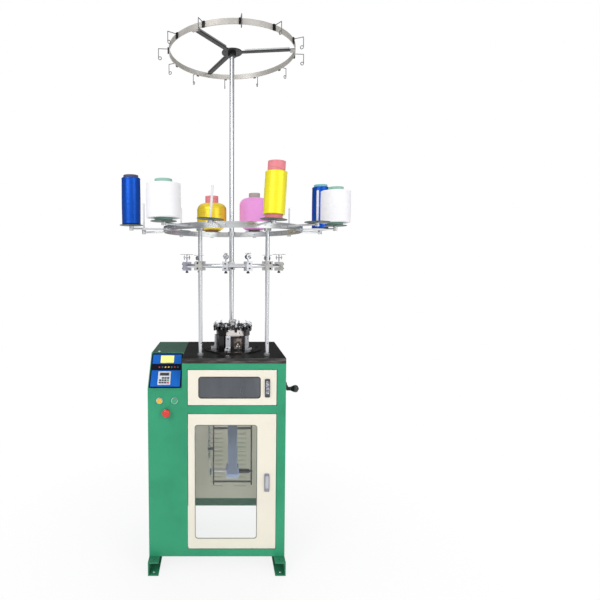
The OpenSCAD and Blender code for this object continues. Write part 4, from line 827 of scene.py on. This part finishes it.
def fabric():
    around_n = 128
    rows = []
    for p, q in zip(SECTIONS, SECTIONS[1:]):
        steps = max(2, int((p[0] - q[0]) / ROW_HEIGHT))
        for k in range(steps):
            t = k / steps
            rows.append([u + (v - u) * t for u, v in zip(p, q)])
    rows.append(list(SECTIONS[-1]))
    for _ in range(3):
        eased = [[(p[k] + 2 * q[k] + r[k]) / 4 for k in range(4)] for p, q, r in zip(rows, rows[1:], rows[2:])]
        rows = [rows[0]] + eased + [rows[-1]]
    bm = bmesh.new()
    rings = []
    for z, a, b, y in rows:
        slack = min(1.0, b / 0.02)
        ring = []
        for i in range(around_n):
            t = 2 * PI * i / around_n
            fold = 0.0011 * slack * math.sin(9 * t + 18 * z) * math.sin(PI * min(1, max(0, (1.14 - z) / 0.3)))
            pinch = 0.0010 * (1 - slack) * math.cos(2 * t) * math.sin(55 * z)
            ring.append(bm.verts.new((HEAD_X + (a + fold + pinch) * math.cos(t), y + (b + fold) * math.sin(t), z)))
        rings.append(ring)
    for p, q in zip(rings, rings[1:]):
        for i in range(around_n):
            j = (i + 1) % around_n
            bm.faces.new((p[i], p[j], q[j], q[i]))
    area = sum(f.calc_area() for f in bm.faces)
    obj = piece("fabric_knit_tube", bm, m_knit, "rotor", ("fabric_tube",), 180)


fabric()

# fabric wound on the roll, its end showing the turns
bm = bmesh.new()
roll = [(0.0155, 0.0)]
for k in range(9):
    r = 0.0165 + 0.0025 * k
    roll += [(r, -0.0003 if k % 2 else -0.0008), (r + 0.0012, -0.0008 if k % 2 else -0.0004)]
width = 0.062
roll = [(r, z) for r, z in roll if r < 0.0366] + [(0.0370, -0.0003), (0.0374, 0.0008)]
side_len = [(0.0374 + 0.0001 * math.sin(k * 1.9), 0.0008 + (width - 0.0016) * k / 24) for k in range(1, 24)]
roll = roll + side_len + [(r, width - z) for r, z in reversed(roll)]
turn_x = Matrix.Translation((HEAD_X - 0.031, 0, TAKEUP_Z)) @ Matrix.Rotation(math.radians(90), 4, "Y")
revolve(bm, roll, turn_x, 96)
piece("fabric_roll", bm, m_knit_painted_lighter, "takeup")


# Control panel: lamps, keypad, frame of the display, screws

def slope(x, y, z=0.0):
    """Point on the slanted panel from its own coordinates."""
    c = math.sqrt(0.5)
    return SLOPE_ORIGIN + Vector((x, (y - z) * c, (y + z) * c))


SLOPE_OUT = Vector((0, -1, 1)).normalized()
SLOPE_TURN = Matrix.Rotation(math.radians(45), 4, "X")
slope_matrix = Matrix.Translation(SLOPE_ORIGIN) @ SLOPE_TURN
SLOPE_L = 0.146 * math.sqrt(2)
CONSOLE_W = 0.163
LAMPS = [(214, 62, 62), (44, 128, 100), (250, 214, 70), (250, 226, 120), (84, 128, 118), (206, 52, 76), (66, 84, 140)]
for i, colour in enumerate(LAMPS):
    bm = bmesh.new()
    r = 0.0245 * CONSOLE_W
    m = Matrix.Translation(slope((0.288 + 0.092 * i) * CONSOLE_W, 0.576 * SLOPE_L, 0.004)) @ SLOPE_TURN
    revolve(bm, [(r, -0.0002), (r, 0.0007), (r * 0.96, 0.0011), (r * 0.74, 0.0011), (r * 0.70, 0.0008),
                 (r * 0.66, 0.0013), (r * 0.52, 0.0019), (r * 0.30, 0.0022), (0, 0.0023)], m, 32)
    mat = surface("lamp_%d" % i, srgb(*colour), rough=0.2, vary=0.05, scale=200, grain=0.03, coat=0.4, bevel=0)
    piece("lamp_%d" % i, bm, mat, "machine", ("indicator_lamps",) if i == 0 else ())

# keypad
pad_x, pad_y = 0.276 * CONSOLE_W, 0.087 * SLOPE_L
pad_w, pad_h = 0.374 * CONSOLE_W, 0.358 * SLOPE_L
pad_z = 0.0048
m_pad = surface("keypad_shell", srgb(222, 226, 234), rough=0.42, vary=0.03, scale=60, grain=0.2)
m_display = surface("keypad_display", srgb(44, 46, 56), rough=0.16, vary=0.08, scale=80, grain=0.03, coat=0.5)
m_key = surface("key_dark", srgb(52, 58, 72), rough=0.45, vary=0.06, scale=90, grain=0.2)
m_key_red = surface("key_red", srgb(206, 54, 56), rough=0.42, vary=0.04, scale=90, grain=0.2)
m_key_green = surface("key_green", srgb(70, 150, 116), rough=0.42, vary=0.04, scale=90, grain=0.2)
bm = bmesh.new()
rounded_box(bm, (pad_x, pad_y, pad_z), (pad_x + pad_w, pad_y + pad_h, pad_z + 0.005), 0.0016, slope_matrix, 3)
rounded_box(bm, (pad_x + 0.10 * pad_w, pad_y + 0.62 * pad_h, pad_z + 0.0045),
            (pad_x + 0.90 * pad_w, pad_y + 0.92 * pad_h, pad_z + 0.0056), 0.0005, slope_matrix)
piece("keypad_shell", bm, m_pad, "machine", ("drive_keypad",))
bm = bmesh.new()
rounded_box(bm, (pad_x + 0.14 * pad_w, pad_y + 0.655 * pad_h, pad_z + 0.0050),
            (pad_x + 0.86 * pad_w, pad_y + 0.885 * pad_h, pad_z + 0.0060), 0.0003, slope_matrix)
piece("keypad_display", bm, m_display, "machine")
KEYS = {"dark": [], "red": [], "green": []}
for row in range(3):
    for col in range(4):
        kind = "dark"
        if (row, col) == (0, 3):
            kind = "red"
        if (row, col) == (1, 3):
            kind = "green"
        if row == 2 and col == 0:
            continue
        KEYS[kind].append((0.11 + 0.205 * col, 0.075 + 0.175 * row))
for kind, mat in (("dark", m_key), ("red", m_key_red), ("green", m_key_green)):
    bm = bmesh.new()
    for kx, ky in KEYS[kind]:
        rounded_box(bm, (pad_x + kx * pad_w, pad_y + ky * pad_h, pad_z + 0.0046),
                    (pad_x + (kx + 0.165) * pad_w, pad_y + (ky + 0.125) * pad_h, pad_z + 0.0062), 0.0006, slope_matrix)
    piece("keypad_keys_" + kind, bm, mat, "machine")

# frame round the lit display
lcd_x0, lcd_y0 = 0.307 * CONSOLE_W, 0.688 * SLOPE_L
lcd_x1, lcd_y1 = lcd_x0 + 0.405 * CONSOLE_W, lcd_y0 + 0.213 * SLOPE_L
m_lcd_frame = surface("lcd_frame", srgb(210, 214, 150), rough=0.4, vary=0.05, scale=60, grain=0.1)
bm = bmesh.new()
t, high = 0.0016, 0.0072
for low, top in (((lcd_x0, lcd_y0), (lcd_x1, lcd_y0 + t)), ((lcd_x0, lcd_y1 - t), (lcd_x1, lcd_y1)),
                 ((lcd_x0, lcd_y0), (lcd_x0 + t, lcd_y1)), ((lcd_x1 - t, lcd_y0), (lcd_x1, lcd_y1))):
    rounded_box(bm, (low[0], low[1], 0.0050), (top[0], top[1], high), 0.0004, slope_matrix)
piece("lcd_frame", bm, m_lcd_frame, "machine")

bm = bmesh.new()
for sx in (0.0090, CONSOLE_W - 0.0090):
    for sy in (0.0075, SLOPE_L * 0.5, SLOPE_L - 0.0085):
        pan_screw(bm, slope(sx, sy, 0.004), SLOPE_OUT, 0.0024, 0.0013)
piece("panel_screws", bm, m_socket, "machine")

# wide caps of the two push buttons, their lips over the bezels
BUTTON_FIELD = DOOR_X0 - LEFT
STEM_R = 0.0099
LIP_R = 0.0126
for name, share, mat in (("yellow", 0.295, m_yellow), ("green", 0.668, m_green_cap)):
    bm = bmesh.new()
    m = facing((share * BUTTON_FIELD + LEFT, FRONT, BUTTON_Z), (0, -1, 0))
    revolve(bm, [(0, -0.017), (STEM_R, -0.017), (STEM_R, 0.0081), (LIP_R - 0.0002, 0.0081), (LIP_R, 0.0084),
                 (LIP_R * 0.96, 0.0087), (LIP_R * 0.8, 0.0089), (LIP_R * 0.4, 0.00898), (0, 0.0090)], m, 56)
    piece("button_cap_" + name, bm, mat, name + "_button_body", ("button_" + name,))

# pale screw on top of the console and the plug in the table
m_nylon = surface("nylon_white", srgb(240, 240, 238), rough=0.35, vary=0.02, grain=0.1)
bm = bmesh.new()
pan_screw(bm, (-0.292, -0.068, TABLE_Z), (0, 0, 1), 0.0062, 0.0028)
piece("console_top_screw", bm, m_nylon, "machine")
bm = bmesh.new()
revolve(bm, [(0.0085, -0.0003), (0.0085, 0.0004), (0.0078, 0.0009), (0.0030, 0.0009), (0.0026, 0.0005), (0, 0.0005)],
        facing((0.051, -0.184, TABLE_Z), (0, 0, 1)), 40)
piece("table_plug", bm, m_screw, "machine")


# Doors: seals round the windows

def seal(name, x0, z0, x1, z1, r, body, mat, wire=0.0017):
    bm = bmesh.new()
    sweep(bm, rect_path(x0, z0, x1, z1, r, FRONT + 0.0004), wire, 8, True)
    piece(name, bm, mat, body)


upper = (DOOR_X0 + 0.051, UPPER_DOOR_Z + 0.033, DOOR_X0 + DOOR_W - 0.076, UPPER_DOOR_Z + UPPER_DOOR_H - 0.033)
lower = (DOOR_X0 + 0.033, LOWER_DOOR_Z + 0.051, DOOR_X0 + DOOR_W - 0.091, LOWER_DOOR_Z + LOWER_DOOR_H - 0.053)
m_seal_grey = surface("seal_grey", srgb(120, 124, 122), rough=0.6, vary=0.1, scale=40, grain=0.3)
seal("upper_window_seal", *upper, 0.013, "upper_door_body", m_rubber)
seal("lower_window_seal", *lower, 0.013, "lower_door_body", m_seal_grey)


# Fasteners on the cabinet

bm = bmesh.new()
for x in (-0.318, -0.10, 0.12, 0.318):
    for z in (0.100, 0.870):
        if abs(x) > 0.3 or z < 0.5:
            pan_screw(bm, (x, BACK, z), (0, 1, 0))
piece("cabinet_back_screws", bm, m_screw, "machine")

bm = bmesh.new()
for i in range(6):
    cap_screw(bm, around(0.133, 15 + 60 * i, TABLE_Z + 0.008), (0, 0, 1), 0.0065, 0.0058)
piece("bed_screws", bm, m_socket, "machine")

bm = bmesh.new()
for a in (55, 112, 185, 254, 322):
    cap_screw(bm, around(0.106, a, TABLE_Z + 0.020), (0, 0, 1), 0.0055, 0.0050)
piece("bracket_screws", bm, m_socket, "machine")

bm = bmesh.new()
for a in (-68, -56, 60, 160):
    out = outward(a)
    cap_screw(bm, around(0.0840, a, 1.1315), out, 0.0024, 0.0014)
piece("cam_ring_screws", bm, m_socket, "machine")

# bright adjusting screws in the housing's front window
bm = bmesh.new()
for a, z, r in ((-76.5, 1.0640, 0.0052), (-68.0, 1.0625, 0.0046), (-73.5, 1.0755, 0.0040)):
    out = outward(a)
    cap_screw(bm, around(0.0770, a, z), out, r, 0.0075)
piece("window_screws", bm, m_chrome, "machine")

# eyelets, knurled screws and wire guides of the feeders
eyes, knurls, wires = bmesh.new(), bmesh.new(), bmesh.new()
WIRE = ((0.0965, 0.0052, 0.0135), (0.0975, 0.0052, 0.024), (0.0945, 0.0030, 0.030), (0.0890, 0.0010, 0.0325))
ring = [(0.0016 + 0.0006 * (1 + math.cos(t)), 0.0021 * math.sin(t)) for t in [2 * PI * k / 10 for k in range(10)]]


def knurl(t):
    return 0.0042 + 0.00025 * math.sin(20 * t)


for i in range(FEEDERS):
    turn = head_turn(i * 30 + 8)
    eye = turn @ Matrix.Translation((0.073, 0, FEEDER_Z + 0.0125)) @ Matrix.Rotation(math.radians(90), 4, "X")
    revolve(eyes, ring, eye, 20, True)
    knob = turn @ Matrix.Translation((0.096, 0, FEEDER_Z + 0.0185))
    revolve(knurls, [(knurl, 0.0), (knurl, 0.0085), (0.0036, 0.0092), (0.0012, 0.0092), (0.0010, 0.0084), (0, 0.0084)],
            knob, 60)
    start, mid, high, tip = (turn @ Vector((x, y, FEEDER_Z + z)) for x, y, z in WIRE)
    loop = [turn @ Vector((0.0875 + 0.0016 * math.cos(t), 0.001, FEEDER_Z + 0.0325 + 0.0016 * math.sin(t)))
            for t in [k * PI / 5 for k in range(10)]]
    sweep(wires, [start, start.lerp(mid, 0.5), mid, high, tip] + loop, 0.0006, 6)

# small black lugs with bright screws, between the feeders, two of them shorter at the front
lugs, caps = bmesh.new(), bmesh.new()
for i in range(FEEDERS):
    turn = head_turn(i * 30 + 23)
    tall = 0.009 if i % 2 else 0.013
    rounded_box(lugs, (0.0775, -0.0085, FEEDER_Z + 0.0052), (0.0935, 0.0085, FEEDER_Z + 0.0052 + tall), 0.0012, turn)
    drop = 0.0060 if i not in (8, 9) else -0.0002
    rounded_box(lugs, (0.0905, -0.0060, FEEDER_Z - drop), (0.0965, 0.0060, FEEDER_Z + 0.0080), 0.0010, turn)
    cap_screw(caps, turn @ Vector((0.0830, 0.0, FEEDER_Z + 0.0051 + tall)), (0, 0, 1), 0.0042, 0.0036)
    cap_screw(caps, turn @ Vector((0.0964, 0.0, FEEDER_Z + 0.0040)), turn.to_3x3() @ Vector((1, 0, 0)), 0.0026, 0.0018)
piece("ring_lugs", lugs, m_oiled, "machine")
piece("ring_lug_screws", caps, m_screw, "machine")
piece("feeder_eyelets", eyes, m_guide, "machine")
piece("feeder_knobs", knurls, m_screw, "machine", (), 50)
piece("feeder_wires", wires, m_wire, "machine")

# posts and pole with their collars, turned in one piece each
bm, collars = bmesh.new(), bmesh.new()
foot, pole_top = (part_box("posts")[k][2] for k in (0, 1))
for x, y, r, top in ((HEAD_X - POST_X, POST_Y, POST_R, POST_TOP), (HEAD_X + POST_X, POST_Y, POST_R, POST_TOP),
                     (HEAD_X, POLE_Y, POLE_R, pole_top)):
    at = Matrix.Translation((x, y, 0))
    climb = [(r, foot + (top - 0.0012 - foot) * k / 12) for k in range(13)]
    revolve(bm, [(0, foot)] + climb + [(r - 0.0012, top), (0, top)], at, 72)
    bore, rim = r + 0.0001, r + 0.005
    revolve(collars, [(bore, TABLE_Z + 0.0001), (rim, TABLE_Z + 0.0001), (rim, TABLE_Z + 0.0108),
                      (rim - 0.0012, TABLE_Z + 0.012), (bore, TABLE_Z + 0.012)], at, 72, True)
piece("post_tubes", bm, m_post, "machine", ("posts",))
piece("post_collars", collars, m_collar, "machine")

# bright folded edges along the spokes of the top frame
bm = bmesh.new()
for a in SPOKES:
    turn = Matrix.Translation((HEAD_X, POLE_Y, 0)) @ Matrix.Rotation(math.radians(a), 4, "Z")
    for side in (-1, 1):
        y0, y1 = sorted((side * 0.0100, side * 0.0119))
        rounded_box(bm, (0.070, y0, 2.6365), (0.312, y1, 2.6445), 0.0004, turn, 1)
piece("spoke_edges", bm, m_band, "machine")

# clamp block round the central guide, with its screws
bm = bmesh.new()
block_at = head_turn(82)
rounded_box(bm, (-0.012, -0.016, FEEDER_Z + 0.0300), (0.024, 0.016, FEEDER_Z + 0.0420), 0.0016, block_at)
for sx in (-0.004, 0.016):
    cap_screw(bm, block_at @ Vector((sx, -0.0159, FEEDER_Z + 0.0360)), block_at.to_3x3() @ Vector((0, -1, 0)),
              0.0030, 0.0024)
piece("guide_block", bm, m_bracket, "machine")

# grub screws and knob on the collars and clamps of the stands
bm = bmesh.new()
for x in (HEAD_X - POST_X, HEAD_X + POST_X):
    pan_screw(bm, (x + 0.0034, -0.1726 - 0.0087, 1.096), (0.36, -0.93, 0), 0.0026, 0.0014)
piece("post_screws", bm, m_socket, "machine")


def lobes(radius):
    """A round with six shallow lobes."""
    return lambda t: radius * (1 + 0.10 * math.cos(6 * t))


bm = bmesh.new()
knob_at = facing((HEAD_X, POLE_Y - 0.0285, TENSION_Z - 0.006), (0, -1, 0))
revolve(bm, [(0.004, -0.006), (0.004, 0.003), (lobes(0.011), 0.004), (lobes(0.0122), 0.007), (lobes(0.0122), 0.013),
             (lobes(0.010), 0.0165), (0.004, 0.0175), (0, 0.0175)], knob_at, 60)
piece("clamp_knob", bm, m_knob, "machine", (), 50)

# screws and the slit of each ring clamp, and the screws of the tension units
screws, slits = bmesh.new(), bmesh.new()
POST_ANGLE = math.degrees(math.asin(-POST_Y / STAND_R))
for a in (90, 180 + POST_ANGLE, 360 - POST_ANGLE):
    for dz in (-0.013, 0.013):
        cap_screw(screws, around(0.254, a, TENSION_Z + dz), outward(a), 0.0042, 0.0036)
    for y0, y1 in ((-0.0184, -0.0181), (0.0181, 0.0184)):
        rounded_box(slits, (0.2355, y0, TENSION_Z - 0.0215), (0.2370, y1, TENSION_Z + 0.0215), 0.0001, head_turn(a), 1)
for a in UNITS:
    out = outward(a)
    for dz in (-0.011, 0.011):
        cap_screw(screws, around(0.258, a, TENSION_Z - 0.002 + dz), out, 0.0034, 0.0030)
    side_way = Vector((-out.y, out.x, 0))
    for s in (-1, 1):
        cap_screw(screws, around(STAND_R, a, TENSION_Z - 0.002) + side_way * 0.014 * s, side_way * s, 0.0036, 0.0026)
piece("ring_screws", screws, m_socket, "machine")
piece("clamp_slits", slits, m_rubber, "machine")

# springs that press the discs of each tension unit together
bm = bmesh.new()
for a in UNITS:
    turn = head_turn(a) @ Matrix.Translation((STAND_R, 0, TENSION_Z + 0.042))
    for s in (-1, 1):
        coil = []
        for k in range(60):
            t = k / 59
            ang = 2 * PI * 3.5 * t
            r = 0.0058 - 0.0022 * t
            coil.append(turn @ Vector((s * (0.0136 + 0.0024 * t), r * math.cos(ang), r * math.sin(ang))))
        sweep(bm, coil, 0.00055, 6)
piece("tension_springs", bm, m_wire, "machine")

# screws that hold the arms in the creel's band
bm = bmesh.new()
for i in range(24):
    a = 7.5 + 15 * i
    out = outward(a)
    pan_screw(bm, around(0.353, a, 1.651), out, 0.0042, 0.0022)
piece("creel_screws", bm, m_screw, "machine")

# pins with their boss on the arm, and the pale sleeve over each
plated, sleeves, grubs = bmesh.new(), bmesh.new(), bmesh.new()
for i, (a, lean, height) in enumerate(HOLDERS):
    top = DISC_Z + height / 1000
    boss_top = top - 0.0101 * math.sin(math.radians(lean)) - 0.0002
    foot = Matrix.Translation(around(HOLDER_R, a, 0))
    revolve(plated, [(0, 1.6420), (0.0092, 1.6420), (0.0100, 1.6428), (0.0100, boss_top - 0.0008), (0.0092, boss_top),
                     (0, boss_top)], foot, 40)
    on = at_holder(i, 0)
    revolve(plated, [(0, -0.0020), (0.0069, -0.0020), (0.0069, 0.0036), (0.0062, 0.0044), (0, 0.0044)], on, 36)
    tip = [(0.0050 * math.cos(math.radians(t)), 0.1350 + 0.0050 * math.sin(math.radians(t)))
           for t in (0, 20, 40, 60, 80)]
    revolve(sleeves, [(0, 0.0042), (0.0050, 0.0042)] + tip + [(0, 0.1400)], on, 36)
    side_way = Vector((-math.sin(math.radians(a)), math.cos(math.radians(a)), 0))
    cap_screw(grubs, around(HOLDER_R, a, 1.6465) - side_way * 0.0098, -side_way, 0.0024, 0.0014)
piece("pin_sleeves", sleeves, m_sleeve, "machine", ("cone_pins",))
piece("pin_bosses", plated, m_pin, "machine")
piece("holder_screws", grubs, m_socket, "machine")


# Floor

bm = bmesh.new()
bmesh.ops.create_grid(bm, x_segments=1, y_segments=1, size=20)
floor_mesh = bpy.data.meshes.new("floor")
bm.to_mesh(floor_mesh)
bm.free()
floor = bpy.data.objects.new("floor", floor_mesh)
scene.collection.objects.link(floor)
floor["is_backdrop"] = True
g = Graph("floor_white")
x, y = g.xyz()[:2]
tone = g.ramp(g.noise(1.5), [(0.3, (0.93, 0.93, 0.93, 1)), (0.7, (0.95, 0.95, 0.95, 1))])
g.fill({"Base Color": tone, "Roughness": 0.9, "Specular IOR Level": 0.1})
# the floor fades into white round the machine, and keeps the shadow under it
fade = g.between(g.length(x, y), 0.84, 1.0, 0.45, 1.4)
rays = g.node("LightPath", {}).outputs
seen = g.math("MAXIMUM", rays["Is Camera Ray"], g.math("MAXIMUM", rays["Is Glossy Ray"], rays["Is Transmission Ray"]))
lit = g.node("Emission", {"Color": WHITE})
blend = g.node("MixShader", {0: g.mul(fade, seen), 1: g.bsdf.outputs[0], 2: lit.outputs[0]})
g.put(g.tree.nodes["Material Output"].inputs[0], blend.outputs[0])
floor_mesh.materials.append(g.mat)


bpy.context.view_layer.update()
low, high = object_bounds()
